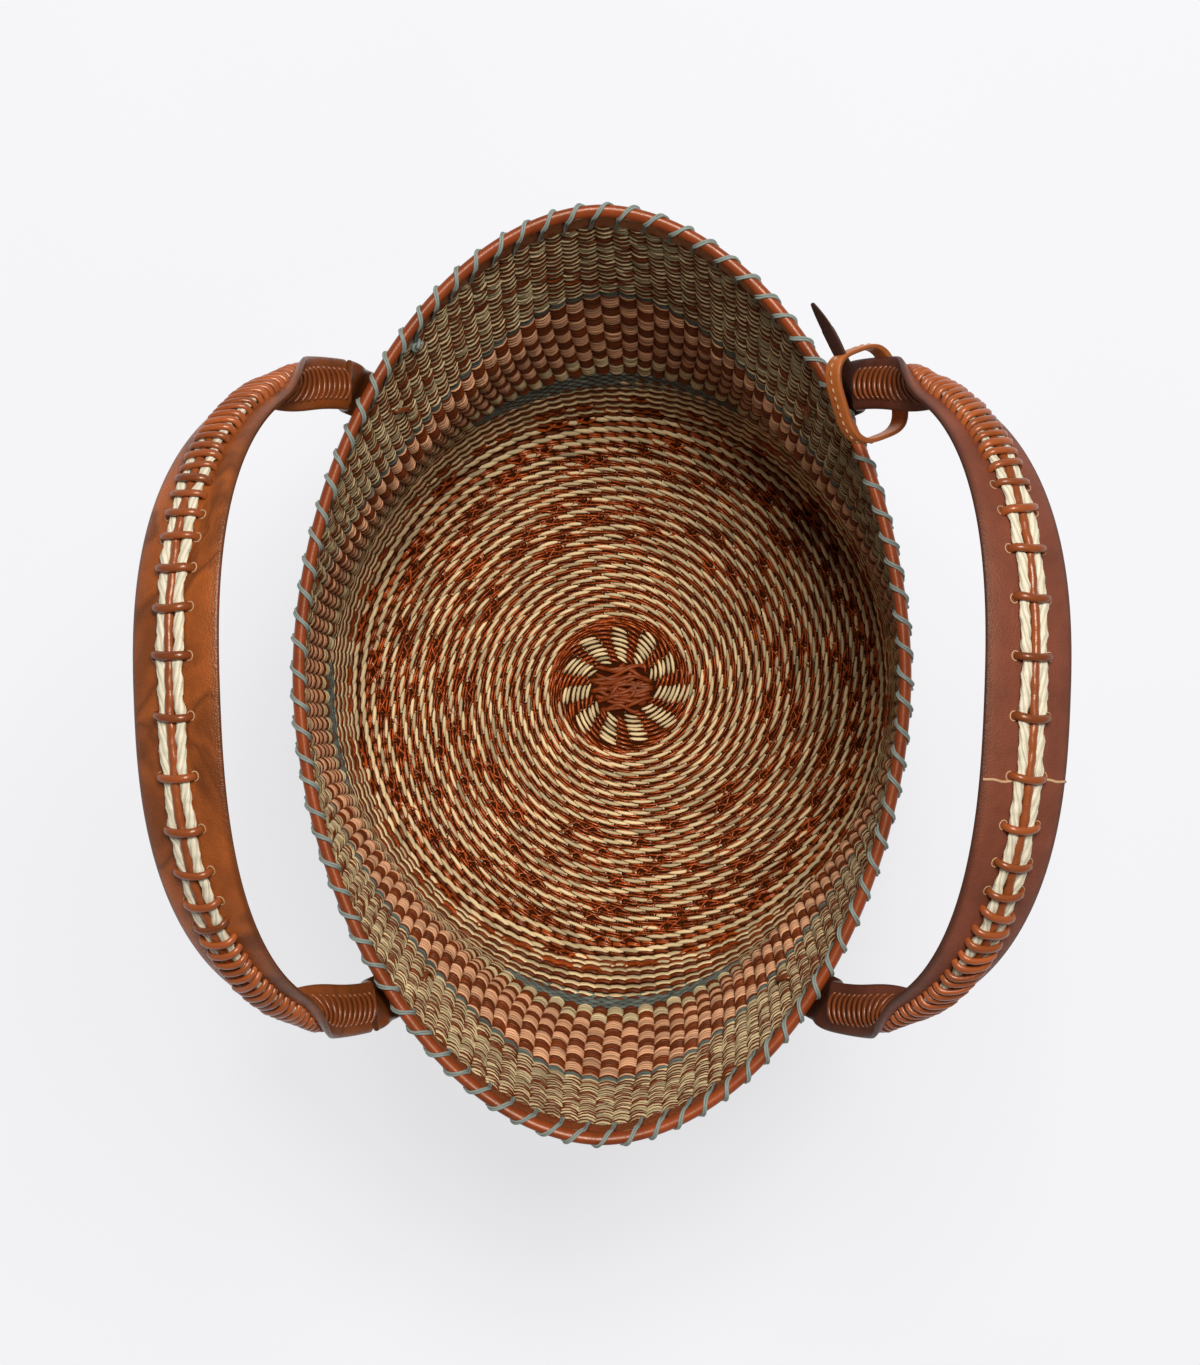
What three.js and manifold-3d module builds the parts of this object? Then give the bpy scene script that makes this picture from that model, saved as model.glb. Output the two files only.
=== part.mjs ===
// Oval woven basket tote with two laced leather handles.
// Millimetres, +Z up. X runs along the basket's length and the front handle is on the -Y side.
// The origin is on the floor, under the middle of the rim.
import * as THREE from "three";
import { mergeVertices } from "three/addons/utils/BufferGeometryUtils.js";
import Module from "manifold-3d";

// Clear gap between neighbouring pieces, and under cords laid on a curved strap
const CLEARANCE = 0.3;
const BED_GAP = 0.6;

// Woven body
const RIM_HALF_LENGTH = 214;
const RIM_HALF_WIDTH = 140;
const RIM_EXPONENT = 1.87;
const RIM_HEIGHT = 276;
const BASE_RADIUS = 145;
const BASE_SHIFT_X = -6;
const BASE_SHIFT_Y = -11;
const BELLY = 9.5;
// share by which the shoulders, midway between the axes, draw in at the upper sage band, and
// how far under the rim they are let out again
const SHOULDER_DRAW = 0.11;
const SHOULDER_DROP = 18;
const CORNER_RADIUS = 24;
const WALL = 3.4;
const LOWER_BAND_BOTTOM = 56;
const LOWER_BAND_HEIGHT = 22;
const CHECK_BAND_HEIGHT = 102;
const UPPER_BAND_HEIGHT = 5;
const KNOT_STRAND_LENGTH = 24;
const KNOT_STRAND_WIDTH = 7;
const KNOT_STRAND_THICKNESS = 2;

// Rim
const CANE = 3.8;
const LEATHER = 1.2;
const FLANGE_DROP = 12;
const WHIP_CORD = 2.2;
const WHIP_KNOT = 5;
// share of the way round the rim, from the +X end
const WHIP_KNOT_PLACE = 0.094;

// Handles
const HANDLE_SHIFT = -9.2;
const HANDLE_ROOT_SPACING = 274.8;
const HANDLE_RISE = 148;
const HANDLE_EXPONENT = 2.75;
const HANDLE_LEAN = 26.7;
const FOLD_HEIGHT = 292;
const STRAP_GRIP_WIDTH = 42.5;
const STRAP_END_WIDTH = 23;
const STRAP_TAPER_POWER = 1.9;
const STRAP_GRIP_THICKNESS = 5;
const STRAP_END_THICKNESS = 4;
const TWIST_START = 28;
const TWIST_END = 76;
const TAB_BOTTOM = 204;
const TAB_LACE_HEIGHT = 215;
const TAB_LACE_RISE = 9;
const LACE = 2;

// Lacing along the outer face of each handle
const CREAM_CORD_WIDTH = 4.4;
const CREAM_CORD_HEIGHT = 3.4;
const CENTRE_CORD_WIDTH = 3;
const CENTRE_CORD_HEIGHT = 4.2;
const BAR_WIDTH = 2.2;
const BAR_THICKNESS = 1.2;
const BAR_STEP_AT_LEG = 10.5;
const BAR_STEP_EXTRA_AT_GRIP = 13;
const BAR_STEP_FADE = 2.2;
const LACING_START = 29;

// Tag on the front handle
const TAG_LOOP_LENGTH = 43;
const TAG_LOOP_BAND = 12;
const TAG_LOOP_THICKNESS = 2.2;
const TAG_LOOP_RISE = 17;
const TAG_LOOP_INWARD_ROOM = 18;
const TAG_LOOP_SHIFT = -5;
const TAG_LOOP_SQUARENESS = 0.42;
const TONGUE_TURN = 34;
const TONGUE_DIP = 8;
const TONGUE_LENGTH = 34;
const TONGUE_WIDTH = 14;
const TONGUE_ROOT_WIDTH = 9.8;
const TONGUE_TIP_WIDTH = 2;
const TONGUE_THICKNESS = 2;

// Smoothness of the facets
const STATIONS_PER_QUARTER = 11;
const STITCHES_PER_STATION = 2;
const CORNER_STEPS = 3;
const HANDLE_STEPS = 36;
const TWIST_WEIGHT = 60;
const TAB_STEPS = 10;
const SMALL_TURN = 1e-4;
const ANGLE_ROUNDS = 12;

const UP = new THREE.Vector3(0, 0, 1);
const STATIONS = 4 * STATIONS_PER_QUARTER;
const STITCHES = STATIONS * STITCHES_PER_STATION;
const wasm = await Module();
wasm.setup();

const mix = THREE.MathUtils.lerp;

function signedPower(value, power) {
  return Math.sign(value) * Math.abs(value) ** power;
}

function evenly(from, to, steps) {
  return Array.from({ length: steps + 1 }, (_, i) => mix(from, to, i / steps));
}

// Parameter values that split a curve into steps of equal length.
function equalSteps(pointAt, from, to, steps) {
  const fine = evenly(from, to, steps * 60);
  const points = fine.map(pointAt);
  const run = [0];
  for (let i = 1; i < points.length; i += 1) {
    run.push(run[i - 1] + points[i].distanceTo(points[i - 1]));
  }
  const whole = run[run.length - 1];
  return evenly(0, whole, steps).map((goal) => {
    const found = run.findIndex((length) => length >= goal - 1e-9);
    const i = Math.max(found, 1);
    return mix(fine[i - 1], fine[i], (goal - run[i - 1]) / (run[i] - run[i - 1]));
  });
}

// Closed surface through a row of closed rings of points. An open row gets a flat fan at each end.
function skin(rings, closed = false) {
  const size = rings[0].length;
  const points = rings.flat();
  const faces = [];
  const spans = closed ? rings.length : rings.length - 1;
  for (let i = 0; i < spans; i += 1) {
    const here = i * size;
    const next = ((i + 1) % rings.length) * size;
    for (let j = 0; j < size; j += 1) {
      const k = (j + 1) % size;
      faces.push(here + j, here + k, next + k);
      faces.push(here + j, next + k, next + j);
    }
  }
  if (!closed) {
    const far = (rings.length - 1) * size;
    for (let j = 1; j < size - 1; j += 1) {
      faces.push(0, j + 1, j);
      faces.push(far, far + j, far + j + 1);
    }
  }
  return outward(points, faces);
}

function middle(ring) {
  const sum = new THREE.Vector3();
  ring.forEach((point) => sum.add(point));
  return sum.divideScalar(ring.length);
}

// Geometry from points and faces, turned round where its faces would point inward.
function outward(points, faces) {
  let volume = 0;
  for (let i = 0; i < faces.length; i += 3) {
    const [a, b, c] = faces.slice(i, i + 3).map((index) => points[index]);
    volume += a.dot(b.clone().cross(c));
  }
  const geometry = new THREE.BufferGeometry().setFromPoints(points);
  return geometry.setIndex(volume < 0 ? faces.toReversed() : faces);
}

// Geometry whose faces share their corner points.
function merged(geometry) {
  const plain = geometry.clone();
  plain.deleteAttribute("normal");
  plain.deleteAttribute("uv");
  return mergeVertices(plain, 1e-4);
}

function toSolid(geometry) {
  const whole = geometry.getAttribute("normal") ? merged(geometry) : geometry;
  const vertProperties = new Float32Array(whole.attributes.position.array);
  const triVerts = new Uint32Array(whole.index.array);
  const solid = new wasm.Manifold(new wasm.Mesh({ numProp: 3, vertProperties, triVerts }));
  if (solid.isEmpty()) {
    throw new Error("a piece is not one closed surface");
  }
  return solid;
}

function toGeometry(solid) {
  const mesh = solid.getMesh();
  const geometry = new THREE.BufferGeometry();
  geometry.setAttribute("position", new THREE.BufferAttribute(mesh.vertProperties, 3));
  return geometry.setIndex(new THREE.BufferAttribute(mesh.triVerts, 1));
}

function cutAway(geometry, cutters) {
  let solid = toSolid(geometry);
  cutters.forEach((cutter) => {
    solid = solid.subtract(toSolid(cutter));
  });
  return toGeometry(solid);
}

function joined(geometries) {
  return toGeometry(geometries.map(toSolid).reduce((whole, piece) => whole.add(piece)));
}

// Geometry set at an origin with its X, Y and Z along three square directions.
function placed(geometry, origin, alongX, alongY, alongZ) {
  const matrix = new THREE.Matrix4().makeBasis(alongX, alongY, alongZ).setPosition(origin);
  return merged(geometry).applyMatrix4(matrix);
}

const lowerBandTop = LOWER_BAND_BOTTOM + LOWER_BAND_HEIGHT;
const checkBandTop = lowerBandTop + CHECK_BAND_HEIGHT;
const upperBandTop = checkBandTop + UPPER_BAND_HEIGHT;
const shoulderTop = RIM_HEIGHT - SHOULDER_DROP;

// The basket's outline at a height: a superellipse that is round at the floor and long at the rim,
// with shoulders that draw in between the lower sage band and the stitched edge.
function outlineAt(height) {
  const rise = height / RIM_HEIGHT;
  const drawIn = (height - lowerBandTop) / (upperBandTop - lowerBandTop);
  const letOut = (shoulderTop - height) / (shoulderTop - upperBandTop);
  return {
    x: BASE_SHIFT_X * (1 - rise),
    y: BASE_SHIFT_Y * (1 - rise),
    length: mix(BASE_RADIUS, RIM_HALF_LENGTH, rise),
    width: mix(BASE_RADIUS, RIM_HALF_WIDTH, rise) + 4 * BELLY * rise * (1 - rise),
    exponent: mix(2, RIM_EXPONENT, rise),
    draw: SHOULDER_DRAW * Math.max(0, Math.min(drawIn, letOut)),
  };
}

const reachAt = (angle, draw) => 1 - draw * Math.sin(2 * angle) ** 2;

function outlinePoint(angle, height) {
  const { x, y, length, width, exponent, draw } = outlineAt(height);
  const power = 2 / exponent;
  const reach = reachAt(angle, draw);
  const alongX = reach * length * signedPower(Math.cos(angle), power);
  const alongY = reach * width * signedPower(Math.sin(angle), power);
  return new THREE.Vector3(x + alongX, y + alongY, height);
}

// Outward direction of the wall, level with the floor and square to the outline.
function wallNormal(angle, height) {
  const ahead = outlinePoint(angle + SMALL_TURN, height);
  return ahead.sub(outlinePoint(angle - SMALL_TURN, height)).cross(UP).normalize();
}

// Point at an angle and height, a given way outward from the middle of the wall's thickness.
function wallPoint(angle, height, offset) {
  return outlinePoint(angle, height).addScaledVector(wallNormal(angle, height), offset);
}

// Angle at which the wall at a height has a given X, on the side of Y that has the side's sign.
function angleAtX(x, height, side) {
  const outline = outlineAt(height);
  let angle = 0;
  let reach = 1;
  for (let i = 0; i < ANGLE_ROUNDS; i += 1) {
    const share = (x - outline.x) / (outline.length * reach);
    angle = Math.acos(signedPower(share, outline.exponent / 2));
    reach = reachAt(angle, outline.draw);
  }
  return side * angle;
}

const rimPoint = (angle) => wallPoint(angle, RIM_HEIGHT, 0);
const stationAngles = equalSteps(rimPoint, 0, 2 * Math.PI, STATIONS).slice(0, STATIONS);

// Point on the faceted wall at a share of the way round the rim.
function onFacets(share, height, offset) {
  const station = (share - Math.floor(share)) * STATIONS;
  const first = Math.floor(station);
  const from = wallPoint(stationAngles[first], height, offset);
  const to = wallPoint(stationAngles[(first + 1) % STATIONS], height, offset);
  return from.lerp(to, station - first);
}

// A profile of [offset, height] points carried round the basket.
function roundTheBasket(profile) {
  const ringAt = (angle) => profile.map(([offset, height]) => wallPoint(angle, height, offset));
  return skin(stationAngles.map(ringAt), true);
}

function wovenBand(heights) {
  const outside = heights.map((height) => [WALL / 2, height]);
  const inside = heights.toReversed().map((height) => [-WALL / 2, height]);
  return roundTheBasket([...outside, ...inside]);
}

const wallTop = RIM_HEIGHT - CANE / 2 - CLEARANCE;

// Round floor whose edge turns up into the wall.
function wovenBase() {
  const turns = evenly(0, Math.PI / 2, CORNER_STEPS);
  const centre = WALL / 2 - CORNER_RADIUS;
  const corner = (radius) =>
    turns.map((turn) => [
      centre + radius * Math.sin(turn),
      CORNER_RADIUS - radius * Math.cos(turn),
    ]);
  const top = LOWER_BAND_BOTTOM - CLEARANCE;
  const outside = [...corner(CORNER_RADIUS), [WALL / 2, top]];
  const inside = [...corner(CORNER_RADIUS - WALL), [-WALL / 2, top]].toReversed();
  const profile = [...outside, ...inside];
  const ringAt = ([offset, height]) =>
    stationAngles.map((angle) => wallPoint(angle, height, offset));
  return skin(profile.map(ringAt));
}

// Crossed stakes in the middle of the floor.
function centreKnot() {
  const strand = new THREE.BoxGeometry(KNOT_STRAND_LENGTH, KNOT_STRAND_WIDTH, KNOT_STRAND_THICKNESS);
  const height = WALL + CLEARANCE + KNOT_STRAND_THICKNESS / 2;
  const turned = [0, 1, 2].map((i) => strand.clone().rotateZ((i * Math.PI) / 3));
  return joined(turned).translate(BASE_SHIFT_X, BASE_SHIFT_Y, height);
}

// Rim: cane, folded leather and the cord whipped over both.
const channelHalf = WALL / 2 + CLEARANCE;
const channelSteps = 5;
const channelTurn = THREE.MathUtils.degToRad(250) / channelSteps;
const caneChannel = Math.max((CANE / 2 + CLEARANCE) / Math.cos(channelTurn / 2), channelHalf);
const pipingRadius = caneChannel + LEATHER;
const flangeBottom = RIM_HEIGHT - FLANGE_DROP;
const cordHalf = (WHIP_CORD / 2) * Math.SQRT1_2;
const passHeight = flangeBottom - CLEARANCE - cordHalf;
const passOffset = channelHalf + LEATHER + CLEARANCE + cordHalf;
const arcVertices = 3;
const arcSpread = THREE.MathUtils.degToRad(140);
const arcStep = arcSpread / (arcVertices - 1);
const whipRadius = (pipingRadius + CLEARANCE + cordHalf) / Math.cos(arcStep / 2);
const whipReach = whipRadius + cordHalf;

// Points of an arc over the cane, from the outside of the wall to its inside.
function archProfile(radius, halfGap, steps) {
  const below = Math.acos(halfGap / radius);
  return evenly(-below, Math.PI + below, steps).map((turn) => [
    radius * Math.cos(turn),
    RIM_HEIGHT + radius * Math.sin(turn),
  ]);
}

function rimBinding() {
  const outerHalf = channelHalf + LEATHER;
  return roundTheBasket([
    [outerHalf, flangeBottom],
    ...archProfile(pipingRadius, outerHalf, 6),
    [-outerHalf, flangeBottom],
    [-channelHalf, flangeBottom],
    ...archProfile(caneChannel, channelHalf, channelSteps).toReversed(),
    [channelHalf, flangeBottom],
  ]);
}

function rimCore() {
  const turns = evenly(0, 2 * Math.PI, 6).slice(0, 6);
  const radius = CANE / 2;
  return roundTheBasket(
    turns.map((turn) => [radius * Math.cos(turn), RIM_HEIGHT + radius * Math.sin(turn)]),
  );
}

const stitchShare = (stitch) => (stitch + 0.5) / STITCHES;

// Gaps between the stake ends, open at the top, where the cord passes through the wall.
function stitchGaps() {
  const width = WHIP_CORD + 2 * CLEARANCE;
  const bottom = passHeight - cordHalf - CLEARANCE;
  const gap = new THREE.BoxGeometry(width, 8 * WALL, 2 * (wallTop - bottom));
  return Array.from({ length: STITCHES }, (_, stitch) => {
    const share = stitchShare(stitch);
    const origin = onFacets(share, passHeight, 0);
    const across = onFacets(share, passHeight, 1).sub(origin).normalize();
    origin.z = wallTop;
    return placed(gap, origin, across.clone().cross(UP), across, UP);
  });
}

// A square cord through points, mitred at each bend. outs point away from the bend's middle.
// A mitre is never sharper than the least one, so that tight bends keep their size.
const leastMitre = 0.3;

function squareCord(points, outs, halfAcross, halfOut, closed = false) {
  const count = points.length;
  const rings = points.map((point, i) => {
    const before = closed || i > 0 ? points[(i + count - 1) % count] : null;
    const after = closed || i < count - 1 ? points[(i + 1) % count] : null;
    const coming = before ? point.clone().sub(before) : after.clone().sub(point);
    const going = after ? after.clone().sub(point) : coming.clone();
    const along = coming.normalize().clone().add(going.normalize()).normalize();
    const out = outs[i].clone().addScaledVector(along, -outs[i].dot(along)).normalize();
    const side = along.clone().cross(out);
    const stretch = halfOut / Math.max(along.dot(going), leastMitre);
    return [[1, 1], [-1, 1], [-1, -1], [1, -1]].map(([u, v]) =>
      point.clone().addScaledVector(side, u * halfAcross).addScaledVector(out, v * stretch),
    );
  });
  return skin(rings, closed);
}

// One cord wound round and round the rim: up the outside, over, down the inside, through a gap.
const knotStitch = Math.round(STITCHES * WHIP_KNOT_PLACE);

function whipPath() {
  const arc = evenly((Math.PI - arcSpread) / 2, (Math.PI + arcSpread) / 2, arcVertices - 1);
  const way = [
    { offset: -passOffset, height: passHeight, advance: 0 },
    { offset: passOffset, height: passHeight, advance: 0 },
    ...arc.map((turn, i) => ({
      offset: whipRadius * Math.cos(turn),
      height: RIM_HEIGHT + whipRadius * Math.sin(turn),
      advance: 0.25 + (0.5 * i) / (arcVertices - 1),
    })),
  ];
  const points = [];
  const outs = [];
  for (let turn = 0; turn < STITCHES; turn += 1) {
    way.forEach(({ offset, height, advance }) => {
      const share = stitchShare(turn + knotStitch) + advance / STITCHES;
      const point = onFacets(share, height, offset);
      const core = onFacets(share, mix(passHeight, RIM_HEIGHT, 0.5), 0);
      points.push(point);
      outs.push(point.clone().sub(core));
    });
  }
  return { points, outs, perTurn: way.length };
}

// Least gap between one turn of the cord and the next, measured on points along both.
function leastTurnGap({ points, perTurn }) {
  const samples = points.slice(1).map((point, i) => point.clone().lerp(points[i], 0.5));
  let least = Infinity;
  for (let i = 0; i + perTurn < samples.length; i += 1) {
    for (let j = perTurn - 1; j <= perTurn + 1 && i + j < points.length; j += 1) {
      least = Math.min(least, samples[i].distanceTo(points[i + j]));
    }
  }
  return least - WHIP_CORD;
}

function whipKnot() {
  const share = stitchShare(knotStitch);
  const offset = -(WALL / 2 + CLEARANCE + WHIP_KNOT / 2);
  const height = passHeight - cordHalf - CLEARANCE - WHIP_KNOT / 2;
  return new THREE.IcosahedronGeometry(WHIP_KNOT / 2, 1).translate(
    ...onFacets(share, height, offset).toArray(),
  );
}

// Handles. side is -1 at the front and 1 at the rear; end is 1 or -1 along X.
function tabAngle(side, end, height) {
  return angleAtX(HANDLE_SHIFT + (end * HANDLE_ROOT_SPACING) / 2, height, side);
}

const foldRadius = STRAP_END_THICKNESS / 2;
const foldOffset = whipReach + CLEARANCE + foldRadius;

function foldPoint(side, end) {
  return wallPoint(tabAngle(side, end, RIM_HEIGHT), RIM_HEIGHT, foldOffset).setZ(FOLD_HEIGHT);
}

// Directions of one handle: along its fold, up its leaning plane, and square out of that plane.
function handleFrame(side) {
  const positive = foldPoint(side, 1);
  const negative = foldPoint(side, -1);
  const along = positive.clone().sub(negative).normalize();
  const out = along.clone().cross(UP).multiplyScalar(-side).normalize();
  const lean = THREE.MathUtils.degToRad(HANDLE_LEAN);
  const up = UP.clone().multiplyScalar(Math.cos(lean)).addScaledVector(out, Math.sin(lean));
  const face = out.clone().multiplyScalar(Math.cos(lean)).addScaledVector(UP, -Math.sin(lean));
  const half = positive.distanceTo(negative) / 2;
  return { origin: positive.clone().lerp(negative, 0.5), along, up, face, half };
}

const creamLateral = CENTRE_CORD_WIDTH / 2 + CLEARANCE + CREAM_CORD_WIDTH / 2;
const creamEdge = creamLateral + CREAM_CORD_WIDTH / 2;

// Domed strap section: a flat inner face and a flat bed for the cords on the outer face.
function strapRing({ point, side, face, width, thickness }) {
  const half = width / 2;
  const section = [
    [-half, -0.1],
    [-0.9 * half, -0.5],
    [0.9 * half, -0.5],
    [half, -0.1],
    [mix(creamEdge, half, 0.75), 0.25],
    [creamEdge, 0.5],
    [0, 0.5],
    [-creamEdge, 0.5],
    [-mix(creamEdge, half, 0.75), 0.25],
  ];
  return section.map(([lateral, v]) =>
    point.clone().addScaledVector(side, lateral).addScaledVector(face, v * thickness),
  );
}

// Cross-section frames along the arch, from the leg at +X to the leg at -X.
function archFrames(side) {
  const { origin, along, up, face, half } = handleFrame(side);
  const power = 2 / HANDLE_EXPONENT;
  const pointAt = (turn) =>
    origin
      .clone()
      .addScaledVector(along, half * signedPower(Math.cos(turn), power))
      .addScaledVector(up, HANDLE_RISE * signedPower(Math.sin(turn), power));
  const start = foldRadius + CLEARANCE;
  const first = Math.asin((start / HANDLE_RISE) ** (1 / power));
  const frameAt = (turn) => {
    const point = pointAt(turn);
    const tiny = 1e-4;
    const way = pointAt(turn + tiny).sub(pointAt(turn - tiny)).normalize();
    const outOfArch = way.clone().cross(face).normalize();
    const towards = point.clone().sub(origin);
    if (outOfArch.dot(towards) < 0) {
      outOfArch.negate();
    }
    const height = towards.dot(up);
    const twisted = THREE.MathUtils.smoothstep(height, TWIST_START, TWIST_END) * (Math.PI / 2);
    const normal = face.clone().multiplyScalar(Math.cos(twisted));
    normal.addScaledVector(outOfArch, Math.sin(twisted));
    const share = height / HANDLE_RISE;
    return {
      point,
      height,
      side: way.clone().cross(normal).normalize(),
      face: normal,
      width: mix(STRAP_END_WIDTH, STRAP_GRIP_WIDTH, share ** STRAP_TAPER_POWER),
      thickness: mix(STRAP_END_THICKNESS, STRAP_GRIP_THICKNESS, share),
    };
  };
  const weighted = (turn) => {
    const frame = frameAt(turn);
    return frame.point.addScaledVector(frame.face, TWIST_WEIGHT);
  };
  return equalSteps(weighted, first, Math.PI - first, HANDLE_STEPS).map(frameAt);
}

// Cross-section frames of a tab: flat on the wall, over the rim's stitches, turned to the fold.
const clearOfRim = passHeight - 3 * WHIP_CORD;

function tabFrames(side, end) {
  const onWall = WALL / 2 + CLEARANCE + STRAP_END_THICKNESS / 2 + CLEARANCE;
  const { along } = handleFrame(side);
  const turnFrom = RIM_HEIGHT + whipReach - WHIP_CORD;
  return evenly(TAB_BOTTOM, FOLD_HEIGHT, TAB_STEPS).map((height) => {
    const stepOut = THREE.MathUtils.smoothstep(height, clearOfRim - FLANGE_DROP, clearOfRim);
    const offset = mix(onWall, foldOffset, stepOut);
    const level = Math.min(height, RIM_HEIGHT);
    const angle = tabAngle(side, end, level);
    const point = wallPoint(angle, level, offset).setZ(height);
    const normal = wallNormal(angle, level);
    const flat = normal.clone().cross(UP).multiplyScalar(-side);
    const turned = THREE.MathUtils.smoothstep(height, turnFrom, FOLD_HEIGHT - foldRadius);
    const across = flat.multiplyScalar(Math.sign(flat.dot(along))).lerp(along, turned).normalize();
    const face = across.clone().cross(UP).multiplyScalar(-side).normalize();
    return {
      point,
      side: across,
      face,
      width: STRAP_END_WIDTH,
      thickness: STRAP_END_THICKNESS,
    };
  });
}

// The tab's top edge is a half-round knuckle on the fold line, with a narrow flat on its crest.
const crestShare = 0.15;
const crownSteps = 4;

function tabSolid(side, end) {
  const frames = tabFrames(side, end);
  const last = frames[frames.length - 1];
  const rings = frames.map(strapRing);
  const shoulder = rings[rings.length - 1];
  const crown = evenly(0, Math.PI / 2, crownSteps).slice(1).map((turn) =>
    shoulder.map((point) => {
      const depth = point.clone().sub(last.point).dot(last.face);
      const kept = Math.max(Math.cos(turn), crestShare);
      return point
        .clone()
        .addScaledVector(last.face, depth * (kept - 1))
        .addScaledVector(UP, foldRadius * Math.sin(turn));
    }),
  );
  return skin([...rings, ...crown]);
}

// Lace through the tab and the wall, as a closed upright loop.
function laceLoop(side, end, half) {
  const inside = -(WALL / 2 + 3 * CLEARANCE + LACE / 2);
  const outside = WALL / 2 + 2 * CLEARANCE + STRAP_END_THICKNESS + CLEARANCE + LACE / 2;
  const low = TAB_LACE_HEIGHT;
  const high = TAB_LACE_HEIGHT + TAB_LACE_RISE;
  const level = (low + high) / 2;
  const normal = wallNormal(tabAngle(side, end, level), level);
  const corner = (offset, height) => wallPoint(tabAngle(side, end, height), height, offset);
  const corners = [
    corner(inside, low),
    corner(outside, low),
    corner(outside, high),
    corner(inside, high),
  ];
  const centre = middle(corners);
  const outs = corners.map((point) => point.clone().sub(centre));
  return { geometry: squareCord(corners, outs, half, half, true), corners, normal };
}

function laceHoles(side, end) {
  const { corners, normal } = laceLoop(side, end, LACE / 2);
  const width = LACE + 2 * CLEARANCE;
  const hole = new THREE.BoxGeometry(width, 8 * WALL, width);
  return [corners[0], corners[3]].map((corner) =>
    placed(hole, corner, normal.clone().cross(UP), normal, UP),
  );
}

// A cord laid along the handle, sideways by a lateral distance from its middle line.
function laidCord(frames, lateral, width, height, sides) {
  const turns = evenly(0, 2 * Math.PI, sides).slice(0, sides);
  const rings = frames.map((frame) => {
    const lift = frame.thickness / 2 + BED_GAP + height / 2;
    return turns.map((turn) =>
      frame.point
        .clone()
        .addScaledVector(frame.side, lateral + (width / 2) * Math.cos(turn))
        .addScaledVector(frame.face, lift + (height / 2) * Math.sin(turn)),
    );
  });
  return skin(rings);
}

// Distances of the lace bars from the middle of the grip: wide apart there, close on the legs.
function barDistances(reach) {
  const distances = [0];
  let step = BAR_STEP_AT_LEG + BAR_STEP_EXTRA_AT_GRIP;
  let next = step;
  for (let i = 1; next < reach; i += 1) {
    distances.push(next, -next);
    step = BAR_STEP_AT_LEG + BAR_STEP_EXTRA_AT_GRIP * Math.exp(-i / BAR_STEP_FADE);
    next += step;
  }
  return distances;
}

function frameAtDistance(frames, distance) {
  let run = 0;
  for (let i = 1; i < frames.length; i += 1) {
    const from = frames[i - 1];
    const to = frames[i];
    const length = to.point.distanceTo(from.point);
    if (run + length >= distance) {
      const share = (distance - run) / length;
      return {
        point: from.point.clone().lerp(to.point, share),
        side: from.side.clone().lerp(to.side, share),
        face: from.face.clone().lerp(to.face, share),
        thickness: mix(from.thickness, to.thickness, share),
      };
    }
    run += length;
  }
  return frames[frames.length - 1];
}

// One lace bar: up from the strap, over the three cords and down again.
function laceBar(frame) {
  const creamTop = BED_GAP + CREAM_CORD_HEIGHT;
  const over = creamTop + CLEARANCE + BAR_THICKNESS / 2;
  const foot = creamEdge + CLEARANCE + BAR_THICKNESS / 2;
  const route = [
    [-foot, BED_GAP],
    [-foot, over],
    [foot, over],
    [foot, BED_GAP],
  ];
  const at = ([lateral, lift]) =>
    frame.point
      .clone()
      .addScaledVector(frame.side, lateral)
      .addScaledVector(frame.face, frame.thickness / 2 + lift);
  const points = route.map(at);
  const core = at([0, 0]);
  const outs = points.map((point) => point.clone().sub(core));
  return squareCord(points, outs, BAR_WIDTH / 2, BAR_THICKNESS / 2);
}

// Flat-topped brown cord between the cream ones, just tall enough to touch the bars.
function centreCord(frames) {
  const half = CENTRE_CORD_WIDTH / 2;
  const rings = frames.map(({ point, side, face, thickness }) => {
    const low = thickness / 2 + BED_GAP;
    const high = low + CENTRE_CORD_HEIGHT;
    return [[-half, low], [half, low], [half, high], [-half, high]].map(([lateral, lift]) =>
      point.clone().addScaledVector(side, lateral).addScaledVector(face, lift),
    );
  });
  return skin(rings);
}

function laceAndCentreCord(frames) {
  const whole = frames
    .slice(1)
    .reduce((sum, frame, i) => sum + frame.point.distanceTo(frames[i].point), 0);
  const endRoom = 2 * BAR_WIDTH;
  const bars = barDistances(whole / 2 - endRoom).map((distance) =>
    laceBar(frameAtDistance(frames, whole / 2 + distance)),
  );
  return joined([centreCord(frames), ...bars]);
}

// Leather band round the +X leg of the front handle, square to the leg.
const loopOutside = STRAP_END_THICKNESS / 2 + BED_GAP + TAG_LOOP_THICKNESS;
const loopInside = -(TAG_LOOP_INWARD_ROOM + TAG_LOOP_THICKNESS);

// Point of the loop's rounded outline at a turn round it, some way in from its outer face.
function loopPoint(turn, inset, lift) {
  const { origin, along, up, face, half } = handleFrame(-1);
  const halfLength = TAG_LOOP_LENGTH / 2 - inset;
  const halfDepth = (loopOutside - loopInside) / 2 - inset;
  const middleDepth = (loopOutside + loopInside) / 2;
  const lengthwise = halfLength * signedPower(Math.cos(turn), TAG_LOOP_SQUARENESS);
  const depthwise = halfDepth * signedPower(Math.sin(turn), TAG_LOOP_SQUARENESS);
  return origin
    .clone()
    .addScaledVector(along, half + TAG_LOOP_SHIFT + lengthwise)
    .addScaledVector(face, middleDepth + depthwise)
    .addScaledVector(up, TAG_LOOP_RISE + lift);
}

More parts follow.
